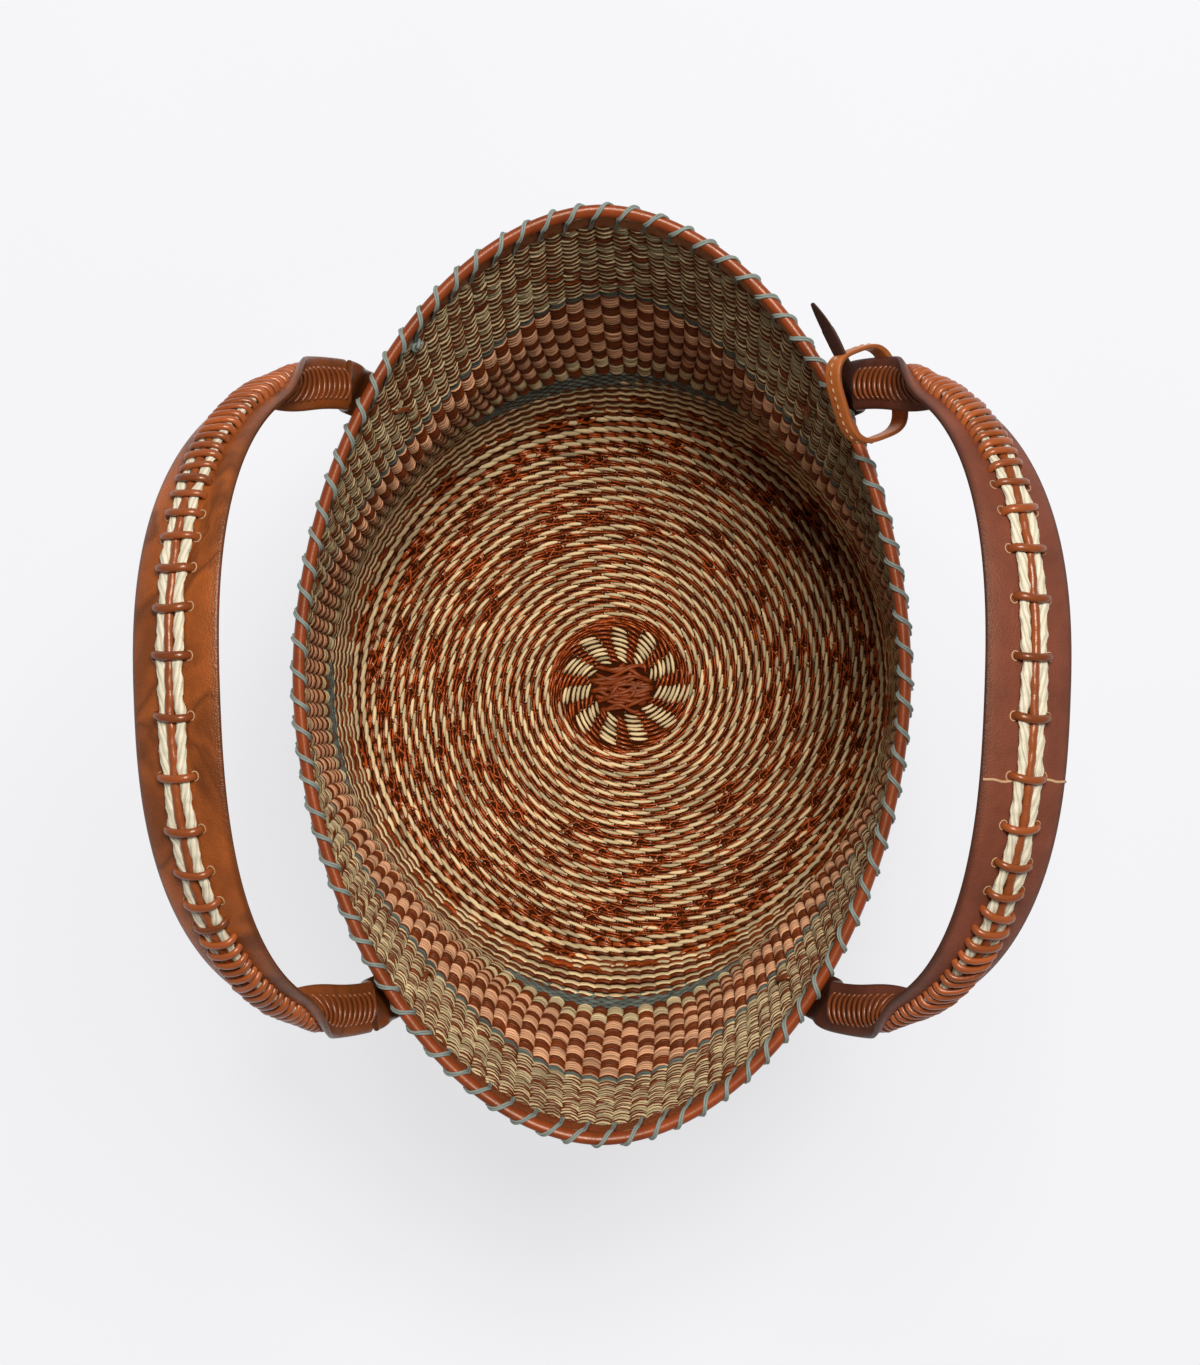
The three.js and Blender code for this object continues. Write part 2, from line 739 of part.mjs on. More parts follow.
function tagLoop() {
  const turns = evenly(0, 2 * Math.PI, 20).slice(0, 20);
  const lift = TAG_LOOP_BAND / 2;
  const rings = turns.map((turn) => [
    loopPoint(turn, 0, -lift),
    loopPoint(turn, 0, lift),
    loopPoint(turn, TAG_LOOP_THICKNESS, lift),
    loopPoint(turn, TAG_LOOP_THICKNESS, -lift),
  ]);
  return skin(rings, true);
}

// Where the flap turns: just clear of the loop's end, on the side towards the basket.
function tongueRoot() {
  const turn = THREE.MathUtils.degToRad(-TONGUE_TURN / 2);
  const tilted = (TONGUE_ROOT_WIDTH / 2) * Math.sin(THREE.MathUtils.degToRad(TONGUE_DIP));
  const stand = CLEARANCE + TONGUE_THICKNESS / 2 + tilted;
  return loopPoint(turn, -stand, 0);
}

// Pointed flap that stands off the loop's end, edge up, along the outside of the rim.
function tagTongue() {
  const { along, up, face } = handleFrame(-1);
  const radius = TONGUE_THICKNESS / 2;
  const lean = THREE.MathUtils.degToRad(TONGUE_TURN);
  const dip = THREE.MathUtils.degToRad(TONGUE_DIP);
  const level = along.clone().multiplyScalar(Math.cos(lean)).addScaledVector(face, -Math.sin(lean));
  const way = level.clone().multiplyScalar(Math.cos(dip)).addScaledVector(up, -Math.sin(dip));
  const across = level.clone().multiplyScalar(Math.sin(dip)).addScaledVector(up, Math.cos(dip));
  const root = tongueRoot();
  const shape = new THREE.Shape();
  const [rootEdge, wideEdge, tipEdge] = [TONGUE_ROOT_WIDTH, TONGUE_WIDTH, TONGUE_TIP_WIDTH].map(
    (width) => width / 2,
  );
  const widest = 0.6 * TONGUE_LENGTH;
  shape.moveTo(0, -rootEdge);
  shape.quadraticCurveTo(widest, -wideEdge, TONGUE_LENGTH, -tipEdge);
  shape.lineTo(TONGUE_LENGTH, tipEdge);
  shape.quadraticCurveTo(widest, wideEdge, 0, rootEdge);
  const blade = new THREE.ExtrudeGeometry(shape, {
    depth: TONGUE_THICKNESS,
    bevelEnabled: false,
    curveSegments: 6,
  }).translate(0, 0, -radius);
  const hinge = new THREE.CylinderGeometry(radius, radius, TONGUE_ROOT_WIDTH, 8);
  return placed(joined([blade, hinge]), root, way, across, way.clone().cross(across));
}

const materials = {
  rustAndNatural: [0x9c6a42, 0.85],
  rust: [0x7a3216, 0.8],
  sage: [0x7d8878, 0.85],
  check: [0xb98a62, 0.85],
  natural: [0xc9b389, 0.85],
  cane: [0xc8a877, 0.7],
  pipingLeather: [0x9a4a20, 0.4],
  rearLeather: [0x86481f, 0.5],
  frontLeather: [0x7a3d26, 0.6],
  laceLeather: [0x6e3318, 0.6],
  cream: [0xe6d3ab, 0.85],
  tagLeather: [0xb25a24, 0.5],
  tagEdge: [0x3a201c, 0.6],
};

const group = new THREE.Group();

function add(name, geometry, finish) {
  const [color, roughness] = materials[finish];
  const material = new THREE.MeshStandardMaterial({ color, roughness, metalness: 0 });
  const mesh = new THREE.Mesh(geometry, material);
  mesh.name = name;
  group.add(mesh);
}

const ends = [
  ["right", 1],
  ["left", -1],
];
const handles = [
  ["front", -1, "frontLeather"],
  ["rear", 1, "rearLeather"],
];
const everyTab = handles.flatMap(([, side]) => ends.map(([, end]) => [side, end]));
const everyHole = everyTab.flatMap(([side, end]) => laceHoles(side, end));

add("woven_base", wovenBase(), "rustAndNatural");
add("centre_knot", centreKnot(), "rust");
add("lower_sage_band", wovenBand([LOWER_BAND_BOTTOM, lowerBandTop - CLEARANCE]), "sage");
add("check_band", wovenBand(evenly(lowerBandTop, checkBandTop - CLEARANCE, 2)), "check");
add("upper_sage_band", wovenBand([checkBandTop, upperBandTop - CLEARANCE]), "sage");
const plainUpperWall = wovenBand([upperBandTop, shoulderTop, wallTop]);
add("upper_wall", cutAway(plainUpperWall, [...stitchGaps(), ...everyHole]), "natural");

add("rim_core", rimCore(), "cane");
add("rim_binding", rimBinding(), "pipingLeather");
const whip = whipPath();
add("rim_whip_stitch", squareCord(whip.points, whip.outs, cordHalf, cordHalf), "sage");
add("whip_stitch_knot", whipKnot(), "sage");
console.log("least gap between whip stitches: " + leastTurnGap(whip).toFixed(2) + " mm");

handles.forEach(([name, side, leather]) => {
  const frames = archFrames(side);
  const laced = frames.filter(({ height }) => height > LACING_START);
  add(name + "_handle_strap", skin(frames.map(strapRing)), leather);
  [["outer", 1], ["inner", -1]].forEach(([edge, way]) => {
    const cord = laidCord(laced, way * creamLateral, CREAM_CORD_WIDTH, CREAM_CORD_HEIGHT, 5);
    add(name + "_" + edge + "_cream_cord", cord, "cream");
  });
  add(name + "_lace_and_centre_cord", laceAndCentreCord(laced), "laceLeather");
  ends.forEach(([endName, end]) => {
    const tab = cutAway(tabSolid(side, end), laceHoles(side, end));
    add(name + "_" + endName + "_strap_tab", tab, leather);
    const lace = laceLoop(side, end, LACE / 2).geometry;
    add(name + "_" + endName + "_tab_lace", lace, "laceLeather");
  });
});

add("tag_loop", tagLoop(), "tagLeather");
add("tag_tongue", tagTongue(), "tagEdge");

// Places and directions that the joints turn and slide about, in metres.
const round = (vector) => vector.toArray().map((value) => Number((value / 1000).toFixed(5)));
handles.forEach(([name, side]) => {
  const { origin, along, up } = handleFrame(side);
  console.log(name + " fold: point", round(origin), "axis", along.toArray(), "up", up.toArray());
});
console.log("tongue turns at", round(tongueRoot()));

export default group;
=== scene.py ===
"""Dresses an oval woven basket tote over its packed solids: strands, rim, handles and tag.

Lengths are in millimetres inside the shape functions and become metres where a mesh is made.
X runs along the basket's length, the front handle is on the -Y side and Z is up.
"""

import math

import bpy
import numpy as np
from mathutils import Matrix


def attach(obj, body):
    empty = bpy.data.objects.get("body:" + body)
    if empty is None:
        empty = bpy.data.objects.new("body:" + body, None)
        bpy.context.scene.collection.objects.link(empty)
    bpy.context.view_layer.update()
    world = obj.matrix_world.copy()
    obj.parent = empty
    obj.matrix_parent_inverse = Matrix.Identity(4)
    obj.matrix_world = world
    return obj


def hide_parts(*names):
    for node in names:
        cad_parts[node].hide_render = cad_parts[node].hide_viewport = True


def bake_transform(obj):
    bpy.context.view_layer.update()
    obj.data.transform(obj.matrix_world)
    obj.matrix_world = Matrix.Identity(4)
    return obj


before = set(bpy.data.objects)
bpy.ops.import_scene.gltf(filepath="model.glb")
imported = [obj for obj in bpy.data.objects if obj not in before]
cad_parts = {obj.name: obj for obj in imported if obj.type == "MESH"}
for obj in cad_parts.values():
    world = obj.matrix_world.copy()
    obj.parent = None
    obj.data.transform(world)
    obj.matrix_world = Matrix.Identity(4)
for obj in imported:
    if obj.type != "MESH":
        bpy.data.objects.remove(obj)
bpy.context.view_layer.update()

bl_info = {
    "name": "Woven basket tote",
    "version": (1, 0, 0),
    "blender": (4, 5, 0),
    "location": "3D View > Sidebar > Basket",
    "description": "Builds the strands, rim, laced handles and tag of a woven basket tote",
    "category": "Add Mesh",
}

MM = 0.001

# Body
RIM_HALF_LENGTH, RIM_HALF_WIDTH, RIM_EXPONENT, RIM_HEIGHT = 214, 140, 1.87, 276
BASE_RADIUS, BASE_SHIFT, BELLY, CORNER_RADIUS, WALL = 145, (-6, -11), 9.5, 24, 3.4
SHOULDER_DRAW, SHOULDER_LOW, SHOULDER_MIDDLE, SHOULDER_HIGH = 0.11, 55, 160, 258
FRONT_FLATNESS = 0.5

# Rim
FLANGE_DROP, FLANGE_OFFSET, BINDING_ARC = 12, 2.3, (-46, 226)
WHIP_ARC, WHIP_TWIST, KNOT_SHARE = (-8, 188), 19.0, 0.094

# Handles
HANDLE_SHIFT, HANDLE_ROOT_SPACING, HANDLE_RISE = -9.2, 274.8, 148
HANDLE_EXPONENT, HANDLE_LEAN, FOLD_HEIGHT, FOLD_OFFSET = 2.5, 26.7, 292, 8.82
STRAP_GRIP_WIDTH, STRAP_END_WIDTH, STRAP_TAPER_POWER = 42.5, 23, 1.9
STRAP_GRIP_THICKNESS, STRAP_END_THICKNESS = 5, 4
TWIST_START, TWIST_END, TWIST_WEIGHT = 28, 76, 60
ARCH_FOOT, TIP_LENGTH, TIP_STEP = 2.3, 9.0, 3.4
TAB_BOTTOM, TAB_LACE_HEIGHT, TAB_LACE_RISE = 204, 215, 9
TAB_OFF_WALL, TAB_EASES_OUT, TAB_TURNS_FROM = 2.6, (244.3, 256.3), 280.3
CREAM_CORD_WIDTH, CREAM_CORD_HEIGHT, CENTRE_CORD_WIDTH = 4.6, 3.4, 4.2
CREAM_CORD_PLACE, CREAM_CORD_TURN, CENTRE_CORD_TURN, CENTRE_CORD_HEIGHT = 4.05, 46.0, 24.0, 4.3
LACING_START = {"front": 31, "rear": 7}
BAR_SHIFT, GRIP_BARS = 5.4, {"front": (3.4, 0.3), "rear": (0.0, 2.4)}
BAR_ACROSS = np.array([-7.7, -7.75, -7.4, -6.5, -4.6, -2.3, 0.0, 2.3, 4.6, 6.5, 7.4, 7.75, 7.7])
BAR_LIFT = np.array([-1.4, 0.2, 1.9, 3.35, 4.35, 4.75, 4.9, 4.75, 4.35, 3.35, 1.9, 0.2, -1.4])
RIBS_FROM, RIBS_TO, HOLES_APART, HOLE_PLACE, SEAM_PAST_MIDDLE = 3.5, 66, 8.5, 8.3, 32
STRAP_STEP, DOME_FALL = 1.8, 0.42

# Tag on the front handle
TAG_LOOP_LENGTH, TAG_LOOP_BAND, TAG_LOOP_THICKNESS = 43, 12, 2.2
TAG_LOOP_RISE, TAG_LOOP_SHIFT, TAG_LOOP_SQUARENESS, TAG_LOOP_TURN = 17, -5.5, 0.6, 22
TAG_LOOP_OUTSIDE, TAG_LOOP_INSIDE = 12, -20.6
TONGUE_TURN, TONGUE_DIP, TONGUE_LENGTH, TONGUE_CORNER = 31, 8, 27, 0.3
TONGUE_WIDTH, TONGUE_ROOT_WIDTH, TONGUE_TIP_WIDTH, TONGUE_THICKNESS = 13, 9.8, 3, 1.8
TONGUE_INSIDE, TAG_STITCHES = 7.0, 34

FLOOR_RUN = BASE_RADIUS + WALL / 2 - CORNER_RADIUS
CORNER_MID = CORNER_RADIUS - WALL / 2
CORNER_RUN = CORNER_MID * math.pi / 2
UP = np.array([0.0, 0.0, 1.0])
random = np.random.default_rng(7)


# Shapes of the object


def mix(a, b, share):
    """The value a share of the way from a to b."""
    return a + (b - a) * share


def smooth(value, low, high):
    """Eases from 0 at low to 1 at high: t squared times three less twice t."""
    t = np.clip((value - low) / (high - low), 0, 1)
    return t * t * (3 - 2 * t)


def signed_power(value, power):
    """The sign of a value times its size raised to a power."""
    return np.sign(value) * np.abs(value) ** power


def unit(vectors):
    """Vectors over their own lengths."""
    return vectors / np.linalg.norm(vectors, axis=-1, keepdims=True)


def circle(count):
    """Even angles round a circle, without the last that meets the first."""
    return np.linspace(0, 2 * np.pi, count, endpoint=False)


def run_along(points):
    """Length run at each point of a curve: the running sum of the steps between points."""
    return np.concatenate([[0], np.cumsum(np.linalg.norm(np.diff(points, axis=0), axis=-1))])


def read_off(places, run, values):
    """Each column of values at places along a run, straight between its rows."""
    return np.stack([np.interp(places, run, column) for column in values.T], axis=-1)


def outline(height):
    """The basket's outline at a height: half length, half width, exponent and centre all go
    in a straight line from the round floor to the long rim, with a belly in the width."""
    rise = height / RIM_HEIGHT
    half_length = mix(BASE_RADIUS, RIM_HALF_LENGTH, rise)
    half_width = mix(BASE_RADIUS, RIM_HALF_WIDTH, rise)
    belly = 4 * BELLY * rise * (1 - rise)
    return half_length, half_width, belly, mix(2, RIM_EXPONENT, rise), 1 - rise


def shoulder_reach(angle, height):
    """Share left of the outline's reach: the shoulders draw in by the square of the sine of
    twice the angle, most at their middle height and less in a straight line above and below."""
    draw_in = (height - SHOULDER_LOW) / (SHOULDER_MIDDLE - SHOULDER_LOW)
    let_out = (SHOULDER_HIGH - height) / (SHOULDER_HIGH - SHOULDER_MIDDLE)
    draw = SHOULDER_DRAW * np.clip(np.minimum(draw_in, let_out), 0, 1)
    return 1 - draw * np.sin(2 * angle) ** 2


def outline_point(angle, height):
    """A superellipse point: half axes times the signed powers of cosine and sine."""
    half_length, half_width, belly, exponent, low = outline(height)
    power = 2 / exponent
    reach = shoulder_reach(angle, height)
    half_width = half_width + belly * (1 - FRONT_FLATNESS * smooth(-np.sin(angle), 0.1, 0.9))
    x = BASE_SHIFT[0] * low + reach * half_length * signed_power(np.cos(angle), power)
    y = BASE_SHIFT[1] * low + reach * half_width * signed_power(np.sin(angle), power)
    return np.stack([x, y, height + 0.0 * x], axis=-1)


def wall_normal(angle, height):
    """Level direction out of the wall, square to the outline's small step at the angle."""
    angle, height = np.broadcast_arrays(angle, height)
    step = outline_point(angle + 1e-4, height) - outline_point(angle - 1e-4, height)
    return unit(np.stack([step[..., 1], -step[..., 0], 0 * step[..., 0]], axis=-1))


def wall_point(angle, height, offset):
    """An outline point moved out along the wall's normal by the offset."""
    angle, height, offset = np.broadcast_arrays(angle, height, offset)
    return outline_point(angle, height) + offset[..., None] * wall_normal(angle, height)


def angle_at_x(x, height, side):
    """Angle at which the wall has a given X at each height, closing in on it in rounds."""
    half_length, _, _, exponent, low = outline(height)
    reach = np.ones(np.shape(height))
    for _ in range(12):
        share = (x - BASE_SHIFT[0] * low) / (half_length * reach)
        angle = np.arccos(signed_power(share, exponent / 2))
        reach = shoulder_reach(angle, height)
    return side * angle


def rim_table():
    """Fine angles round the rim and the share of its length run at each."""
    angles = np.linspace(0, 2 * np.pi, 7201)
    run = run_along(wall_point(angles, RIM_HEIGHT, 0))
    return angles, run / run[-1]


RIM_ANGLES, RIM_SHARES = rim_table()


def rim_angle(share):
    """Angle at a share of the rim's length, read from the table and carried on past a turn."""
    whole = np.floor(share)
    return np.interp(share - whole, RIM_SHARES, RIM_ANGLES) + 2 * np.pi * whole


def body_point(share, run, lift):
    """A point on the body: run goes from the floor's centre out, round the turned-up corner
    and up the wall, and lift goes outwards from the middle of the thickness. On the floor the
    run is a radius, in the corner an angle of an arc, and on the wall a height."""
    share, run, lift = np.broadcast_arrays(share, run, lift)
    settled = smooth(run, FLOOR_RUN + CORNER_RUN, FLOOR_RUN + CORNER_RUN + 160)
    angle = mix(2 * np.pi * share, rim_angle(share), settled)
    turn = np.clip((run - FLOOR_RUN) / CORNER_MID, 0, np.pi / 2)
    rise = np.maximum(run - FLOOR_RUN - CORNER_RUN, 0)
    radius = CORNER_MID + lift
    offset = radius * np.sin(turn) - CORNER_MID
    height = CORNER_RADIUS - radius * np.cos(turn) + rise
    point = wall_point(angle, np.maximum(height, 0.01), offset)
    inward = np.clip(run / FLOOR_RUN, 0, 1)[..., None]
    centre = np.stack([BASE_SHIFT[0] + 0 * run, BASE_SHIFT[1] + 0 * run, height], axis=-1)
    return mix(centre, point, inward)


def run_at(height):
    """The run at which the body reaches a height of its wall."""
    return FLOOR_RUN + CORNER_RUN + height - CORNER_RADIUS


def handle_frame(side):
    """Origin and directions of a handle: along its fold, up its leaning plane, and its face."""
    ends = []
    for end in (1, -1):
        point = wall_point(tab_angle(side, end, RIM_HEIGHT), RIM_HEIGHT, FOLD_OFFSET)
        ends.append(np.array([point[0], point[1], FOLD_HEIGHT]))
    along = unit(ends[0] - ends[1])
    out = unit(np.cross(along, UP)) * -side
    lean = math.radians(HANDLE_LEAN)
    up = UP * math.cos(lean) + out * math.sin(lean)
    face = out * math.cos(lean) - UP * math.sin(lean)
    half = np.linalg.norm(ends[0] - ends[1]) / 2
    return (ends[0] + ends[1]) / 2, along, up, face, half


def tab_angle(side, end, height):
    """Angle of the middle of a strap's end on the wall."""
    return angle_at_x(HANDLE_SHIFT + end * HANDLE_ROOT_SPACING / 2, height, side)


def arch_path(side, count):
    """Cross-section frames along a handle's arch, a superellipse in its leaning plane. The
    face turns a quarter from out of the plane to out of the arch as it climbs the legs."""
    origin, along, up, face, half = handle_frame(side)
    power = 2 / HANDLE_EXPONENT
    first = math.asin((ARCH_FOOT / HANDLE_RISE) ** (1 / power))
    turn = np.linspace(first, math.pi - first, 6001)

    def sample(turn):
        """Points of the arch and their heights over the fold."""
        x = half * signed_power(np.cos(turn), power)
        h = HANDLE_RISE * signed_power(np.sin(turn), power)
        return origin + x[:, None] * along + h[:, None] * up, h

    def frames(turn):
        """Points with their sides, faces and heights."""
        point, h = sample(turn)
        way = unit(sample(turn + 1e-4)[0] - sample(turn - 1e-4)[0])
        out = unit(np.cross(way, face))
        out *= np.sign(np.einsum("ij,ij->i", out, point - origin))[:, None]
        twist = (smooth(h, TWIST_START, TWIST_END) * math.pi / 2)[:, None]
        normal = face * np.cos(twist) + out * np.sin(twist)
        return point, unit(np.cross(way, normal)), normal, h

    point, _, normal, _ = frames(turn)
    run = run_along(point + TWIST_WEIGHT * normal)
    turn = np.interp(np.linspace(0, run[-1], count), run, turn)
    point, lateral, normal, h = frames(turn)
    rise = h / HANDLE_RISE
    width = mix(STRAP_END_WIDTH, STRAP_GRIP_WIDTH, rise**STRAP_TAPER_POWER)
    thickness = mix(STRAP_END_THICKNESS, STRAP_GRIP_THICKNESS, rise)
    return dict(point=point, side=lateral, face=normal, width=width, thick=thickness, height=h)


def tab_path(side, end, count):
    """Cross-section frames of a strap's end: flat on the wall, eased out over the rim's
    stitches, and turned to face as the handle does where it folds."""
    _, along, _, _, _ = handle_frame(side)
    height = np.linspace(TAB_BOTTOM, FOLD_HEIGHT, count)
    offset = mix(WALL / 2 + TAB_OFF_WALL, FOLD_OFFSET, smooth(height, *TAB_EASES_OUT))
    level = np.minimum(height, RIM_HEIGHT)
    angle = tab_angle(side, end, level)
    point = wall_point(angle, level, offset)
    point[:, 2] = height
    normal = wall_normal(angle, level)
    flat = np.cross(normal, UP) * -side
    flat *= np.sign(flat @ along)[:, None]
    turned = smooth(height, TAB_TURNS_FROM, FOLD_HEIGHT - 2)[:, None]
    across = unit(mix(flat, along, turned))
    face = unit(np.cross(across, UP)) * -side
    return dict(
        point=point,
        side=across * end,
        face=face,
        width=np.full(count, float(STRAP_END_WIDTH)),
        thick=np.full(count, float(STRAP_END_THICKNESS)),
        height=height - FOLD_HEIGHT,
    )


def band_path(side):
    """A whole strap: the right tab going up, the arch over, and the left tab going down, at
    even steps, with its folds rounded by a running average of neighbouring frames."""
    right = tab_path(side, 1, 26)
    arch = arch_path(side, 170)
    left = tab_path(side, -1, 26)
    whole = {key: np.concatenate([right[key], arch[key], left[key][::-1]]) for key in arch}
    length = run_along(whole["point"])[-1]
    even = at_distance(whole, np.linspace(0, length, int(length / STRAP_STEP)))
    weights = np.hanning(11)[1:-1] / np.hanning(11).sum()

    def settle(values):
        """The running average, with the end values held."""
        first, last = np.repeat(values[:1], 4, axis=0), np.repeat(values[-1:], 4, axis=0)
        longer = np.concatenate([first, values, last])
        return sum(w * longer[k : k + len(values)] for k, w in enumerate(weights))

    soft = {key: settle(values) for key, values in even.items()}
    soft["side"], soft["face"] = unit(soft["side"]), unit(soft["face"])
    return soft


def at_distance(path, distances):
    """The path's frames at distances from its start, each value read off straight between
    neighbouring frames."""
    run = run_along(path["point"])

    def read(values):
        """One value or three at each distance."""
        one = values.ndim == 1
        return np.interp(distances, run, values) if one else read_off(distances, run, values)

    found = {key: read(values) for key, values in path.items()}
    found["side"], found["face"] = unit(found["side"]), unit(found["face"])
    return found


def carry(path, lateral, lift, forward=0.0):
    """Points set beside a path: its point plus lateral along its side, lift along its face
    and forward along its way, for arrays of one row per frame."""
    way = np.cross(path["face"], path["side"])
    expand = (slice(None),) + (None,) * (np.ndim(lateral) - 1)
    return (
        path["point"][expand]
        + np.asarray(lateral)[..., None] * path["side"][expand]
        + np.asarray(lift)[..., None] * path["face"][expand]
        + np.asarray(forward)[..., None] * way[expand]
    )


# Meshes


def quads(rows, columns, closed_rows, closed_columns):
    """Corner numbers of the squares of a grid, carried round where it closes on itself."""
    i = np.arange(rows if closed_rows else rows - 1)[:, None]
    j = np.arange(columns if closed_columns else columns - 1)[None, :]
    ni, nj = (i + 1) % rows, (j + 1) % columns
    i, j, ni, nj = np.broadcast_arrays(i, j, ni, nj)
    corners = [i * columns + j, ni * columns + j, ni * columns + nj, i * columns + nj]
    return np.stack(corners, axis=-1).reshape(-1, 4)


def make_piece(name, points, faces, material, uv=None, values=None):
    """Puts points, in millimetres, and rows of corner numbers into a mesh object at the
    origin, smooth shaded, with its faces turned outwards by the sign of its volume."""
    points = points.reshape(-1, 3)
    if signed_volume(points, faces) < 0:
        faces = [block[:, ::-1] for block in faces]
    loops = np.concatenate([block.ravel() for block in faces])
    totals = np.concatenate([np.full(len(block), block.shape[1]) for block in faces])
    starts = np.concatenate([[0], np.cumsum(totals)[:-1]])
    mesh = bpy.data.meshes.new(name)
    mesh.vertices.add(len(points))
    mesh.vertices.foreach_set("co", (points * MM).astype(np.float32).ravel())
    mesh.loops.add(len(loops))
    mesh.loops.foreach_set("vertex_index", loops.astype(np.int32))
    mesh.polygons.add(len(totals))
    mesh.polygons.foreach_set("loop_start", starts.astype(np.int32))
    mesh.polygons.foreach_set("loop_total", totals.astype(np.int32))
    mesh.polygons.foreach_set("use_smooth", np.ones(len(totals), bool))
    mesh.update(calc_edges=True)
    if uv is not None:
        layer = mesh.uv_layers.new(name="strand")
        layer.data.foreach_set("uv", uv.reshape(-1, 2)[loops].astype(np.float32).ravel())
    for key, numbers in (values or {}).items():
        attribute = mesh.attributes.new(key, "FLOAT", "POINT")
        attribute.data.foreach_set("value", numbers.astype(np.float32).ravel())
    mesh.materials.append(material)
    mesh.validate()
    obj = bpy.data.objects.new(name, mesh)
    bpy.context.scene.collection.objects.link(obj)
    return obj


def signed_volume(points, faces):
    """Six times the volume inside the faces: the sum of each fan's triple products."""
    total = 0.0
    for block in faces:
        a = points[block[:, 0]]
        for k in range(1, block.shape[1] - 1):
            b, c = points[block[:, k]], points[block[:, k + 1]]
            total += np.einsum("ij,ij->", a, np.cross(b, c))
    return total


def tube_faces(rows, columns, closed):
    """Faces of a tube of rings, with a flat end at each side where it is open."""
    faces = [quads(rows, columns, closed, True)]
    if not closed:
        ends = np.arange(columns)
        faces.append(np.stack([ends, (rows - 1) * columns + ends[::-1]]))
    return faces


def repeated(faces, copies, points_each):
    """The same faces for many copies of a small form that lie one after another."""
    shift = (np.arange(copies) * points_each)[:, None, None]
    return [(block[None] + shift).reshape(-1, block.shape[1]) for block in faces]


def ring_frames(points, hint, closed=False):
    """Side and face at points of a curve: central differences give its way, and the hint,
    made square to it, gives the face."""
    if closed:
        way = np.roll(points, -1, axis=0) - np.roll(points, 1, axis=0)
    else:
        way = np.gradient(points, axis=0)
    way = unit(way)
    face = unit(hint - np.einsum("ij,ij->i", hint, way)[:, None] * way)
    return np.cross(way, face), face


def round_cord(name, points, hint, radius, material, sides=8, closed=False, flat=1.0, tone=0.0):
    """A round or flattened cord along a curve: a circle of the radius in each frame."""
    side, face = ring_frames(points, hint, closed)
    turn = circle(sides)
    rings = (
        points[:, None]
        + radius * np.cos(turn)[None, :, None] * side[:, None]
        + radius * flat * np.sin(turn)[None, :, None] * face[:, None]
    )
    run = run_along(points)
    uv = np.stack(np.broadcast_arrays(run[:, None], turn[None] * radius), axis=-1)
    values = {"tone": np.full(rings.shape[:2], tone)}
    return make_piece(name, rings, tube_faces(len(points), sides, closed), material, uv, values)


def join_pieces(name, parts):
    """One object from several, under the given name."""
    bpy.ops.object.select_all(action="DESELECT")
    for part in parts:
        part.select_set(True)
    bpy.context.view_layer.objects.active = parts[0]
    bpy.ops.object.join()
    parts[0].name = name
    parts[0].data.name = name
    return parts[0]


# Finishes


